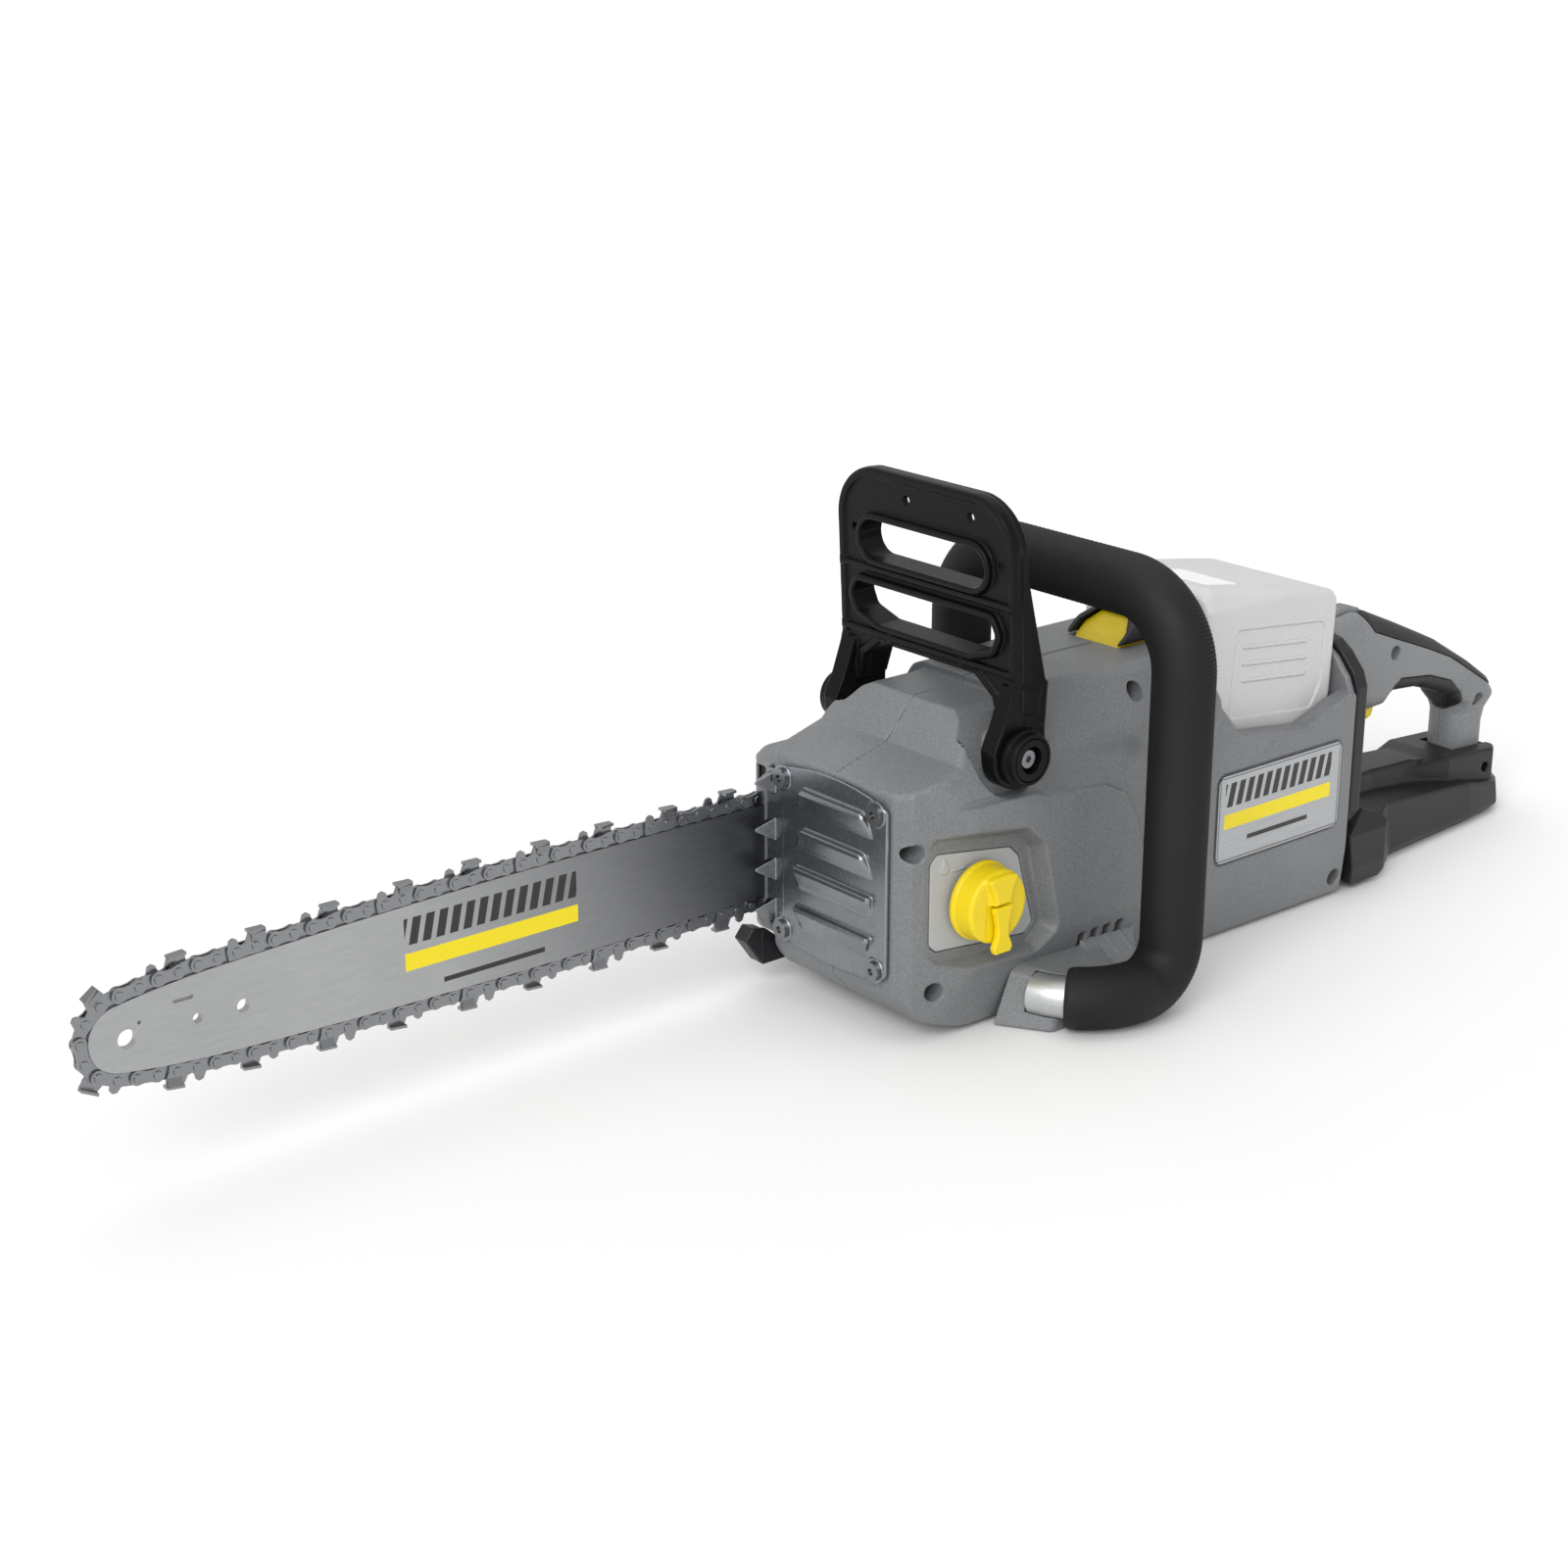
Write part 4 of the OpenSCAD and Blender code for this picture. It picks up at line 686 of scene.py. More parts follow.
def guard(x, y, z):
    gx, gz = leaned(x, z)
    out = np.minimum(rect(y, gz, -62, 190, 62, 261, 27), outline(y, gz, GUARD_LOW, 0.8))
    win = np.minimum(rect(y, gz, -44, 216, 44, 236, 9.9), outline(y, gz, WINDOW, 4))
    side = outline(gx, gz, [(-43, 150), (-43, 262), (-34, 262), (-32, 220), (-22, 170), (-24, 150)], 1)
    rim = both(both(out, -(out + 4.0)), side, 0.8)
    web = both(out, slab(gx, -41.5, -38), 0.6)
    ring = both(both(win - 3.2, slab(gx, -45.2, -30), 1.2), out)
    ribs = np.minimum(slab(gz, 176, 179), slab(gz, 209, 212))
    ribs = both(both(ribs, slab(gx, -43.6, -34), 0.5), out + 1)
    # a short gusset pair beside the lower window
    gus = both(both(slab(np.abs(y), 24, 27), slab(gz, 170, 184)), both(slab(gx, -43.4, -34), out + 1))
    d = join(join(web, rim, 1.4), join(ring, np.minimum(ribs, gus), 0.8), 1.2)
    d = cut(d, win, 0.9)
    for hy, hz in ((13, 249), (-32, 249), (51, 229), (-52, 229)):
        d = cut(d, disc(y, gz, hy, hz, 2.2), 0.5)
    foot = join(disc(x, z, PIVOT_X, PIVOT_Z, 16.5),
                outline(x, z, [(-56, 141), (-45, 172), (-22, 172), (-24.5, 133), (-40, 122)], 1), 3)
    foot = both(foot, slab(np.abs(y), 52, 62), 1.2)
    # shallow pocket in each foot's outer face
    foot = cut(foot, both(outline(x, z, [(-44, 158), (-41, 170), (-27, 170), (-28.5, 156)], 2),
                          60 - np.abs(y)), 0.6)
    d = join(d, foot, 1.5)
    return cut(d, disc(x, z, PIVOT_X, PIVOT_Z, 7.62), 0.3)


solid("guard_shell", "guard", "guard_black", ["hand_guard"], guard, (-62, -62, 118), (-18, 62, 262), 0.85)


def caps(x, y, z):
    a = np.abs(y)
    r = np.hypot(x - PIVOT_X, z - PIVOT_Z)
    d = both(r - 7.5, slab(a, 51.5, 63), 0.3)
    d = join(d, both(r - 14, slab(a, 62.4, 66.4), 0.9), 0.2)
    d = join(d, both(r - 12.6, slab(a, 66, 70.3), 0.9), 0.3)
    d = cut(d, both(r - 6.5, slab(a, 65, 90)), 0.7)
    d = cut(d, both(np.abs(r - 10.6) - 0.35, slab(a, 69.7, 90)), 0.2)
    return cut(d, r - 2.6)


for s, tag in ((-1, "left"), (1, "right")):
    solid("pivot_cap_" + tag, "saw_body", "guard_black", ["pivot_caps"],
          lambda x, y, z, s=s: both(caps(x, y, z), -y * s), (-54, min(s * 51, s * 71), 123),
          (-26, max(s * 51, s * 71), 152), 0.55)


# -------------- front handle
PATH_STEP = 0.75
GRIP_R, BORE_R = 15.28, 10.7
DIMPLE = 0.28, -0.42                    # raised and sunk points of the grip's knurl
PLAIN_END, LIP_END = 4.0, 3.0           # lengths without knurl and of the lip at each end


def handle_path():
    """Points and directions from the socket, over the top and down to the curled tail."""
    pts, tan = [], []

    def add(point, along):
        pts.append(point)
        tan.append(along)

    def upper_bend(y, start, stop):
        for a in np.linspace(start, stop, 80, endpoint=False):
            add((SOCKET_X, y + BEND_R * math.cos(a), TOP_Z - BEND_R + BEND_R * math.sin(a)),
                (0, -math.sin(a), math.cos(a)))

    for z in np.arange(138, TOP_Z - BEND_R, PATH_STEP):
        add((SOCKET_X, SOCKET_Y, z), (0, 0, 1))
    upper_bend(SOCKET_Y - BEND_R, 0, math.pi / 2)
    for y in np.arange(SOCKET_Y - BEND_R, SIDE_Y + BEND_R, -PATH_STEP):
        add((SOCKET_X, y, TOP_Z), (0, -1, 0))
    upper_bend(SIDE_Y + BEND_R, math.pi / 2, math.pi)
    for z in np.arange(TOP_Z - BEND_R, GROUND_Z + FOOT_R, -PATH_STEP):
        add((SOCKET_X, SIDE_Y, z), (0, 0, -1))
    for a in np.linspace(0, math.pi / 2, 46, endpoint=False):
        add((TAIL_X + FOOT_R * math.cos(a), SIDE_Y, GROUND_Z + FOOT_R - FOOT_R * math.sin(a)),
            (-math.sin(a), 0, -math.cos(a)))
    # the tail runs along the ground and curls in towards the body
    for a in np.linspace(0, math.radians(CURL_TURN), 51):
        add((TAIL_X - CURL_R * math.sin(a), CURL_Y - CURL_R * math.cos(a), GROUND_Z),
            (-math.cos(a), math.sin(a), 0))
    return np.array(pts, float), np.array(tan, float)


def grip_mesh():
    p, t = handle_path()
    step = 1
    p, t = p[::step], t[::step]
    around = 96
    u = np.array((1.0, 0, 0))
    frames = []
    for k in range(len(p)):
        u = u - t[k] * (u @ t[k])
        u /= np.linalg.norm(u)
        frames.append((u, np.cross(t[k], u)))
    s = np.concatenate([[0], np.cumsum(np.linalg.norm(np.diff(p, axis=0), axis=1))])
    a = 2 * math.pi * np.arange(around) / around
    rings = []
    for k in range(len(p)):
        end = min(s[k], s[-1] - s[k])
        r = np.full(around, GRIP_R)
        if end < PLAIN_END:
            r -= 0.25 * (end < LIP_END)
            r -= max(0, 1.2 - end) * 0.8
        elif k % 2 == 0:
            high = (np.arange(around) % 2) == (k // 2) % 2
            r += np.where(high, *DIMPLE)
        f = frames[k]
        rings.append(p[k] + r[:, None] * (np.cos(a)[:, None] * f[0] + np.sin(a)[:, None] * f[1]))
    co = np.concatenate(rings)
    n = len(p)
    i, j = np.meshgrid(np.arange(n - 1), np.arange(around), indexing="ij")
    q = np.stack([i * around + j, i * around + (j + 1) % around, (i + 1) * around + (j + 1) % around,
                  (i + 1) * around + j], -1).reshape(-1, 4)

    def bore_ring(k):
        return p[k] + BORE_R * (np.cos(a)[:, None] * frames[k][0] + np.sin(a)[:, None] * frames[k][1])

    # closed ends
    quads = [q]
    base = len(co)
    co = np.concatenate([co, bore_ring(0), bore_ring(n - 1)])
    j = np.arange(around)
    quads.append(np.stack([j, base + j, base + (j + 1) % around, (j + 1) % around], -1))
    last = (n - 1) * around
    quads.append(np.stack([last + j, last + (j + 1) % around, base + around + (j + 1) % around,
                           base + around + j], -1))
    # a plain bore between the ends
    bore = np.linspace(0, n - 1, 42).astype(int)[1:-1]
    start = len(co)
    co = np.concatenate([co] + [bore_ring(k) for k in bore])
    ids = [base + j] + [start + r * around + j for r in range(len(bore))] + [base + around + j]
    for r in range(len(ids) - 1):
        near, far = ids[r], ids[r + 1]
        quads.append(np.stack([near, far, np.roll(far, -1), np.roll(near, -1)], -1))
    return mesh_of("grip_tube", co, np.concatenate(quads))


piece("grip_tube", grip_mesh(), "saw_body", "black_rubber", "front_handle_grip")


def bracket(x, y, z):
    front = -0.798 * (x + 49) - 0.499 * (y + 59.5) + 0.337 * (z - 3)
    top = (z - 28.5 - (y + 62) * 0.13 + (x + 37) * 0.045) * 0.99
    d = both(both(front, top, 5), -84.0 - y, 2)
    d = both(both(d, 0.878 * (x - 19) - 0.478 * (y + 61.8), 1.2), 0.5 - z, 0.5)
    # a lower ledge behind the wedge, carried by thin ribs
    over = (z - 27.5 - (y + 61.8) * 0.62 + (x - 16) * 0.06) * 0.85
    ledge = both(both(both(over, -(over + 2.6)), -75 - y, 0.8), slab(x, 8, 47), 1.0)
    for k in (15, 25, 35, 45):
        rib = both(both(slab(x, k, k + 2), over), both(slab(y, -73.5, -57), 9 + (y + 57) * -0.4 - z), 0.4)
        ledge = join(ledge, rib, 0.8)
    d = join(d, ledge, 0.8)
    d = both(d, y + 59.0, 0.3)
    # sockets for the grip's end and, further in, for the bare tube
    around = np.hypot(x - TAIL_X, y - CURL_Y) - CURL_R
    turned = np.arctan2(TAIL_X - x, CURL_Y - y)
    arc = both(both((turned - math.radians(52.6)) * CURL_R, -8 - turned * CURL_R), y - CURL_Y)
    d = cut(d, both(np.hypot(around, z - GROUND_Z) - 15.9, arc), 0.6)
    tube = both(np.hypot(around, z - GROUND_Z) - 10.6, y - CURL_Y)
    return cut(d, both(tube, (turned - math.radians(76)) * CURL_R))


solid("bracket_shell", "saw_body", "housing_grey", ["handle_bracket"], bracket, (-52, -86, 0),
      (48, -60, 38), 0.75)


# -------------- oil filler
def plate(x, y, z):
    d = both(outline(x, z, OIL_PLATE, 3.5), slab(y, -53.2, -50.4), 0.6)
    d = cut(d, disc(x, z, CAP_X, CAP_Z, 14.3), 0.4)
    # a raised drop beside a short level line
    drop = join(disc(x, z, -79.5, 87, 2.4), outline(x, z, [(-81.6, 88), (-79.5, 92.4), (-77.4, 88)], 0),
                0.5)
    line = rect(x, z, -74.5, 84.6, -66, 86.2, 0.7)
    return join(d, both(np.minimum(drop, line), slab(y, -53.9, -52.4), 0.25), 0.15)


solid("filler_plate", "saw_body", "light_grey_plastic", ["oil_plate"], plate, (-90, -54, 40),
      (-19, -50, 96), 0.6)


def cap(x, y, z):
    u, w = x - CAP_X, z - CAP_Z
    r = np.hypot(u, w)
    d = both(r - 19.1 - (y + 59) * 0.076, slab(y, -69.5, -55.8), 1.8)
    d = join(d, both(r - 20, slab(y, -58.6, -55.8), 0.8), 0.7)
    block = outline(u, w, [(-6, 2.2), (-5.5, 4.5), (-6.5, 9), (-10.5, 17), (10.5, 17), (6.5, 9), (5.5, 4.5),
                           (6, 2.2)], 1.2)
    block = both(both(block, slab(y, -73.5, -66), 1.8), r - 18.2, 1.5)
    d = join(d, block, 2.0)
    # the lower half of the face is dished where the wing lies
    d = cut(d, both(rect(u, w, -8.2, -30, 8.2, 1.8, 2), y + 69.3), 0.3)
    d = join(d, both(r - 11.9, slab(y, -57, -49.5), 0.4), 0.2)
    return cut(d, rod(x, z, y, CAP_X, CAP_Z, 9.6, -60, -40))


solid("filler_cap_shell", "filler_cap", "yellow_plastic", ["oil_cap"], cap, (-79, -74, 47), (-38, -49, 88),
      0.5)


def wing(x, y, z):
    u, w = x - CAP_X, z - CAP_Z
    form = [(-5.5, -1), (-3.6, -9), (-3.8, -14), (-6.2, -19.5), (-5, -22.5), (5, -22.5), (6.2, -19.5),
            (3.8, -14),
            (3.6, -9), (5.5, -1)]
    d = both(outline(u, w, form, 1.2), slab(y, -73.4, -69.8), 1.0)
    return join(d, both(disc(y, z, -71.6, 67.1, 1.8), slab(u, -5.6, 5.6), 0.4), 0.6)


solid("filler_wing_shell", "cap_wing", "yellow_plastic", ["oil_cap_wing"], wing, (-65.5, -74.5, 44),
      (-51.5, -69, 70), 0.4)


# -------------- bumper plate, spikes and chain catcher
BUMPER = [(-42, 34), (-42, 119), (-32, 122.4), (-20, 124.6), (-8, 125.6), (4, 125.6), (16, 124.8),
          (28, 123), (37, 120.6), (37, 33.5), (24, 30.5), (8, 29), (-10, 28.8), (-26, 30)]


def bumper(x, y, z):
    d = both(outline(y, z, BUMPER, 3.0), slab(x, -106.4, -104.4), 0.35)
    for rz, lo, hi in ((115, 30, 22), (94.5, 30, 22), (74, 27, 29), (53, 24, 29)):
        prof = outline(x, z, [(-105.6, rz - 14), (-109.9, rz - 3), (-109.5, rz - 0.9), (-105.6, rz + 0.2)],
                       0.5)
        wide = outline(y, z, [(-lo - 4, rz - 14), (-hi - 4, rz + 1), (hi - 4, rz + 1), (lo - 4, rz - 14)],
                       2.0)
        d = join(d, both(prof, wide, 2.2), 0.9)
    d = join(d, both(rect(y, z, 34, 38, 46.3, 118, 1.0), slab(x, -106.4, -104.4), 0.3), 0.5)
    for sz in (113, 88.5, 67.5, 46):
        k = np.clip(1 - 0.9 * (-106.3 - x) / 11, 0.1, 1.0)
        s = outline((z - sz) / k, (y - 42.8) / k, [(-7, -3.4), (5, -3.4), (3, 3.4), (-7, 3.4)], 0.3) * k
        d = join(d, both(s, slab(x, -117.0, -105.5), 0.25), 0.4)
    for sy in (-34.4, 34.4):
        for sz in (36.3, 116):
            # raised round seat for each screw
            d = join(d, both(disc(y, z, sy, sz, 6.4), slab(x, -106.9, -105), 0.3), 0.3)
            d = cut(d, disc(y, z, sy, sz, 2.2))
    return d


solid("bumper_shell", "saw_body", "pressed_steel", ["bumper_plate"], bumper, (-118, -42, 28),
      (-104, 47, 126), 0.6)


def catcher(x, y, z):
    d = both(outline(x, z, [(-118, 27), (-113, 33), (-106, 31), (-106, 12), (-108, 13)], 0.8),
             slab(y, 49.3, 59), 1)
    arm = outline(x, z, [(-107, 31), (-104.6, 31), (-97.5, 25), (-84, 23), (-90, 12), (-107, 12)], 0.8)
    return join(d, both(arm, slab(y, 49.3, 52.3), 0.5), 1)


solid("catcher_shell", "saw_body", "black_plastic", ["chain_catcher"], catcher, (-118, 49, 12),
      (-84, 59, 33), 0.6)


# -------------- battery and its release
BATT = [(112, 62), (208.5, 62), (210.8, 120), (212.3, 167), (208.5, 172), (116, 188), (110, 183),
        (110, 120)]
BATT_YZ = [(-41, 62), (41, 62), (45, 105), (45, 176), (37, 189), (-37, 189), (-45, 176), (-45, 105)]


def battery(x, y, z):
    d = both(outline(x, z, BATT, 4.5), outline(y, z, BATT_YZ, 4.5), 4.5)
    panel = outline(x, z, [(131, 163.5), (202, 156), (200, 122), (193, 110), (128, 117)], 4)
    d = cut(d, both(panel, 44.2 - np.abs(y)), 0.5)
    for top in (0, -9, -18):
        ridge = outline(x, z, [(137, 155 + top), (188, 149.4 + top), (188, 147 + top), (137, 152.6 + top)],
                        1.0)
        d = join(d, both(ridge, slab(np.abs(y), 42, 45.0), 0.5), 0.4)
    # the lid's seam and the step under it
    d = cut(d, both(slab(z - (x - 110) * -0.02, 103.6, 104.3), slab(np.abs(y), 44.4, 99)), 0.2)
    d = cut(d, rod(y, z, x, -20, 171, 4, 90, 114), 0.5)
    d = cut(d, brick(x, y, z, (144, -22, 50), (178, 22, 78)), 0.5)
    top = outline(x, y, [(122, -30), (150, -30), (150, 12), (122, 12)], 3)
    d = cut(d, both(top, -(outline(x, z, BATT, 5) + 0.7)), 0.3)
    return d


def battery_hollow(x, y, z):
    d = both(outline(x, z, inset(BATT, 3), 3), outline(y, z, inset(BATT_YZ, 3), 3), 3)
    d = cut(d, rod(y, z, x, -20, 171, 6, 90, 118))
    return cut(d, brick(x, y, z, (140, -26, 50), (182, 26, 84)))


solid("battery_case", "battery", "pale_plastic", ["battery_shell"], battery, (110, -45, 62), (212, 45, 189),
      0.95, battery_hollow, 2.5)
TOP = [(123, -29), (149, -29), (149, 11), (123, 11)]
solid("battery_window", "battery", "window_plastic", [],
      lambda x, y, z: both(outline(x, y, TOP, 2.5),
                           both(outline(x, z, BATT, 5) + 0.05, -(outline(x, z, BATT, 5) + 0.95)), 0.3),
      (122, -30, 175), (150, 12, 190), 0.7)


def arc_top(y, z, w, z0, z1, r=2.0):
    return outline(y, z, [(-w, z0), (-w, z1 - 7), (-w * 0.6, z1), (w * 0.6, z1), (w, z1 - 7), (w, z0)], r)


def button(x, y, z):
    d = both(arc_top(y, z, 16.3, 157, 172.2, 3),
             outline(x, z, [(73.5, 150), (73.5, 158), (91, 173), (100, 173), (100, 150)], 1.5), 1.4)
    # a shallow finger hollow in the raked face
    d = cut(d, disc(np.hypot(x - 74, z - 174), y * 0.55, 0, 0, 12.2), 0.8)
    return join(d, brick(x, y, z, (80, -14, 152.5), (97, 14, 158), 0.6), 0.3)


solid("button_shell", "battery_button", "yellow_plastic", ["release_button"], button, (73, -17, 152),
      (100, 17, 173), 0.6)
solid("button_frame", "saw_body", "black_plastic", ["release_frame"],
      lambda x, y, z: cut(both(arc_top(y, z, 19.6, 160.1, 174.8, 3),
                               outline(x, z, [(71.5, 150), (71.5, 161), (90, 176), (103.5, 176),
                                              (103.5, 150)], 1), 0.9),
                          arc_top(y, z, 16.8, 150, 172.8, 3), 0.5),
      (70, -21, 160), (104, 21, 175), 0.6)

# -------------- rear frame, base and corner blocks
REAR = [(-49.6, 45.4), (-57, 46.6), (-57, 118), (-54, 126), (-45, 136), (-38, 141), (-28, 143.5),
        (28, 143.5), (38, 141), (45, 136), (54, 126), (57, 118), (57, 46.6), (49.6, 45.4), (49, 4),
        (-49, 4)]


def rear_plate(x, y, z):
    d = both(outline(y, z, REAR, 1.5), slab(x, 217.55, 226.5), 1.5)
    d = cut(d, rod(np.abs(y), z, x, 45, 108, 3.5, 221, 240), 0.6)
    ring = cut(outline(y, z, inset(REAR, 5), 1), outline(y, z, inset(REAR, 6.4), 1))
    return cut(d, both(ring, 225.7 - x), 0.2)


solid("rear_frame_shell", "saw_body", "black_plastic", ["rear_frame"], rear_plate, (217, -57, 4),
      (227, 57, 144), 0.9)
BASE = [(226.6, -50), (262, -50), (278, -40), (362, -33), (392, -29), (404, -20), (410, -12), (410, 12),
        (404, 20), (392, 29), (362, 33), (278, 40), (262, 50), (226.6, 50)]


def base(x, y, z):
    a = np.abs(y)
    deck = outline(x, z - np.clip(46 - a, 0, 40) * 0.11,
                   [(200, -30), (411, -30), (411, 13), (373, 20.5), (361, 23.5), (262, 34.5), (200, 41)], 1)
    body = outline(x, y, BASE, 1.5)
    # the flanks lean in towards the top and are cut back underneath
    d = both(body + np.maximum(z - 8, 0) * 0.12, deck, 1.3)
    d = both(both(d, (5.6 + body - z) * 0.707, 0.5), 0.3 - z, 0.3)
    spine = both(outline(x, a, [(220, -5), (220, 30), (290, 17), (345, 15), (406, 15), (406, -5)], 3)
                 + np.maximum(z - 30, 0) * 0.15,
                 outline(x, z, [(200, 15), (390, 15), (390, 30), (352, 36), (330, 42), (270, 46),
                                (200, 48)], 3), 2.5)
    block = both(outline(x, a, [(318, -5), (318, 14), (352, 22.5), (394, 22.5), (407, 13), (407, -5)], 2),
                 outline(x, z, [(316, 15), (318, 38), (352, 41), (400, 38), (408, 30), (408, 15)], 2.5), 2)
    d = join(join(d, spine, 3.0), block, 1.6)
    d = both(d, 226.6 - x, 0.6)
    d = cut(d, brick(x, y, z, (367.8, -12.2, 24), (401.2, 12.2, 70)), 0.4)
    return cut(d, rod(x, z, a, 387, 27.5, 3, 16, 60), 0.7)


solid("base_shell", "saw_body", "black_plastic", ["rear_base"], base, (226, -50, 0), (411, 50, 49), 0.95)


def corner(x, y, z):
    a = np.abs(y)
    d = both(outline(x, z, [(225, 3), (221.5, 13), (217.8, 34), (235, 45), (249, 39), (257, 29), (256, 13),
                            (249, 3)],
                     1.2), slab(a, 50.1, 59.2), 0.9)
    d = both(d, (x - 249) * math.sin(math.radians(35)) + (a - 59) * math.cos(math.radians(35)), 0.7)
    d = both(d, a - 59.2 + np.maximum(z - 33, 0) * 0.5, 0.6)
    return both(d, a - 59.2 + np.maximum(15 - z, 0) * 0.3, 0.6)


for s, tag in ((-1, "left"), (1, "right")):
    solid("corner_" + tag, "saw_body", "black_plastic", ["corner_blocks"],
          lambda x, y, z, s=s: both(corner(x, y, z), 1 - y * s), (217, min(s * 50, s * 60), 3),
          (258, max(s * 50, s * 60), 45), 0.65)

# -------------- rear handle
HANDLE = [(226.6, 86), (268, 84), (286, 80.5), (298, 81), (306, 88), (330, 86), (352, 79), (363, 74),
          (368.5, 65), (368.5, 26), (400.5, 26), (400.5, 52), (403, 60), (403.5, 70), (396, 80), (378, 92),
          (345, 111), (310, 127), (283, 138.5), (270, 140.8), (262, 140), (226.6, 137)]
HANDLE_YZ = [(-12, 0), (-12, 60), (-17, 70), (-17, 118), (-14.5, 128), (-12.5, 150), (12.5, 150),
             (14.5, 128), (17, 118), (17, 70), (12, 60), (12, 0)]
GRIP_TOP = [(288, 146), (272, 146), (284, 128), (302, 121), (331, 110), (355, 100), (380, 85), (397, 75),
            (401, 73), (410, 70), (410, 100), (340, 134)]
GRIP_LOW = [(302, 82), (303, 90), (308, 96.5), (335, 93), (355, 86), (367, 76), (370.5, 69), (368.5, 62),
            (360, 62), (340, 66)]
HOLLOW_A = [(251, 70), (251, 112), (306, 112), (306, 92), (301, 70)]


def grip_form(x, y, z, grow=0.0):
    return both(outline(x, z, HANDLE, 3) - grow, outline(y, z, HANDLE_YZ, 3), 10.5)


def handle(x, y, z):
    d = grip_form(x, y, z)
    gap = np.minimum(outline(x, z, GRIP_TOP, 1), outline(x, z, GRIP_LOW, 1)) - 0.3
    d = cut(d, both(gap, -(grip_form(x, y, z) + 4.0)), 0.5)
    d = cut(d, both(outline(x, z, HOLLOW_A, 1), slab(y, -7.6, 7.6)), 0.6)
    d = cut(d, brick(x, y, z, (262, -9.5, 108), (296, 9.5, 124)))
    d = cut(d, both(outline(x, z, [(256, 125), (254, 160), (284.6, 160), (284.6, 122)], 0),
                    slab(y, -5.6, 5.6)), 0.7)
    for hx, hz in ((301, 113), (383, 69)):
        d = cut(d, rod(x, z, y, hx, hz, 4.0, -30, -11.5), 0.8)
    return d


def half(s):
    return lambda x, y, z: both(handle(x, y, z), 0.08 - y * s, 0.4)


solid("handle_shell_left", "saw_body", "handle_grey", ["handle_left"], half(-1), (226, -17, 26),
      (403, 0, 146), 0.85)
solid("handle_shell_right", "saw_body", "handle_grey", ["handle_right"], half(1), (226, 0, 26),
      (403, 17, 146), 0.95)


def grips(x, y, z):
    form = grip_form(x, y, z, 0.5)
    a = both(np.minimum(outline(x, z, GRIP_TOP, 2), outline(x, z, GRIP_LOW, 2)), form, 0.8)
    a = cut(a, both(rect(x, z, 250, 110, 285, 170, 1), slab(y, -6, 6)), 0.5)
    return cut(a, form + 4.6)


def knurled(name):
    m = Mat(name, "black_rubber", Roughness=0.5)
    x, y, z = m.axes()
    k = 1 / 0.0019
    u = m.math("MULTIPLY", m.math("ADD", x, m.math("ADD", z, y)), k * 0.8)
    v = m.math("MULTIPLY", m.math("SUBTRACT", m.math("SUBTRACT", x, z), y), k * 0.8)
    wave = m.math("MULTIPLY", m.math("PINGPONG", u, 0.5), m.math("PINGPONG", v, 0.5))
    fine = m.noise(1500.0, 2.0)
    base = srgb("#1c1d1e")
    # painted shade in the knurl's grooves and painted highlight on its raised diamonds: the colour follows
    # the bump's pattern
    c = m.mix(m.span(wave, 0.0, 0.2, 0.0, 1.0), dim(base, 0.5), dim(base, 1.7))
    # painted highlight: edges found by pointiness are lightened
    m.colour(m.mix(m.edge(), c, dim(base, 2.2)))
    m.rough(m.span(fine, 0.3, 0.7, 0.42, 0.6))
    m.bump(wave, 0.9, 0.0007)


knurled("knurled_rubber")
solid("handle_pads", "saw_body", "knurled_rubber", ["handle_grips"], grips, (270, -18, 56), (406, 18, 144),
      0.8)


def trigger(x, y, z):
    d = both(outline(x, z, [(255, 95), (258, 104), (284, 104), (300, 99), (300, 84), (297, 74), (293, 72.5),
                            (289, 78), (279, 84), (262, 89)], 1.2), slab(y, -6.4, 6.4), 1.6)
    return cut(d, disc(x, z, 262, 98, 2.1))


solid("trigger_shell", "trigger_lever", "yellow_plastic", ["trigger"], trigger, (255, -7, 72),
      (300, 7, 104), 0.6)


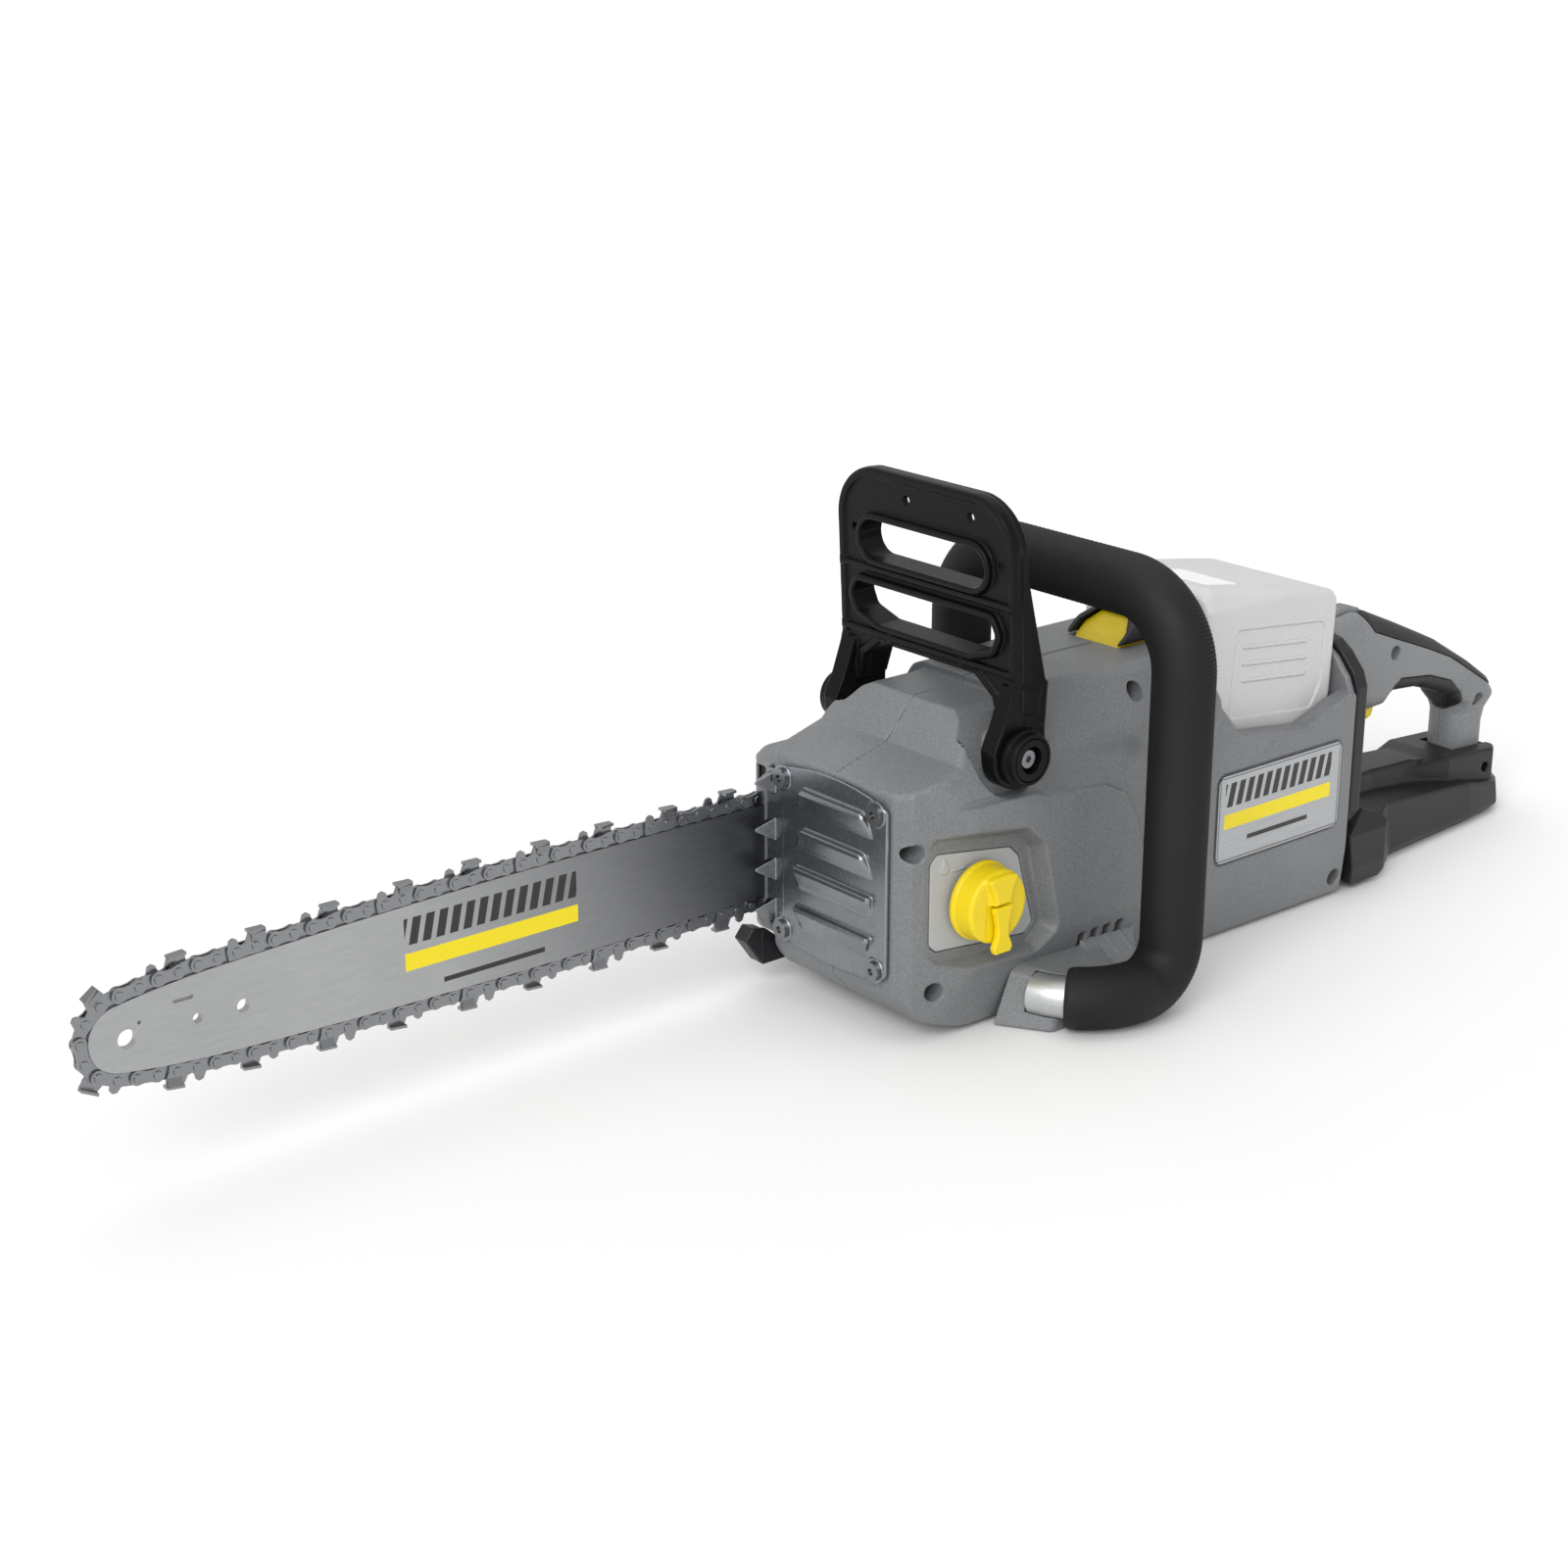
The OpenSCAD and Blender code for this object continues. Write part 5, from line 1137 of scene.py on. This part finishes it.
def lock(x, y, z):
    d = both(outline(x, z, [(259.5, 134), (259.5, 140), (262, 143.2), (273, 143), (281, 140.5),
                            (281, 138.5), (270, 131),
                            (262, 129.5)], 1.5), slab(y, -5, 5), 1.2)
    for k in range(3):
        d = cut(d, both(slab(x, 265.5 + k * 3.2, 266.5 + k * 3.2), 142.2 - z), 0.3)
    return cut(d, disc(x, z, 265, 134, 1.6))


solid("lock_shell", "lock_lever", "handle_grey", ["lock_off_lever"], lock, (259, -5, 129), (283, 5, 150),
      0.5)

# -------------- floor and light
FLOOR = 30.0                            # half its side, in metres
floor = bpy.data.meshes.new("floor")
floor.from_pydata([(-FLOOR, -FLOOR, 0), (FLOOR, -FLOOR, 0), (FLOOR, FLOOR, 0), (-FLOOR, FLOOR, 0)], [],
                  [(0, 1, 2, 3)])
floor_ob = bpy.data.objects.new("floor", floor)
bpy.context.scene.collection.objects.link(floor_ob)
floor_ob.location.z = -0.0004
m = Mat("floor_white", Roughness=0.8)
n = m.noise(3.0, 2.0)
m.colour(m.mix(m.span(n, 0.3, 0.7, 0.0, 1.0), (0.89, 0.89, 0.89), (0.91, 0.91, 0.91)))
floor.materials.append(MATS["floor_white"])

world = bpy.data.worlds.new("studio")
bpy.context.scene.world = world
world.use_nodes = True
world.node_tree.nodes["Background"].inputs["Color"].default_value = (1, 1, 1, 1)
world.node_tree.nodes["Background"].inputs["Strength"].default_value = 0.68


def lamp(name, toward, strength, spread):
    """A very large far-off softbox in the direction given."""
    d = bpy.data.lights.new(name, "SUN")
    d.energy, d.angle = strength, math.radians(spread)
    o = bpy.data.objects.new(name, d)
    bpy.context.scene.collection.objects.link(o)
    o.rotation_mode = "QUATERNION"
    o.rotation_quaternion = Vector(toward).to_track_quat("Z", "Y")


lamp("key", (-0.70, -0.42, 0.58), 1.6, 40)
lamp("overhead", (0.1, 0.25, 0.96), 0.6, 60)

scene = bpy.context.scene
scene.view_settings.view_transform = "Standard"
scene.view_settings.look = "None"
scene.view_settings.exposure = 0.0
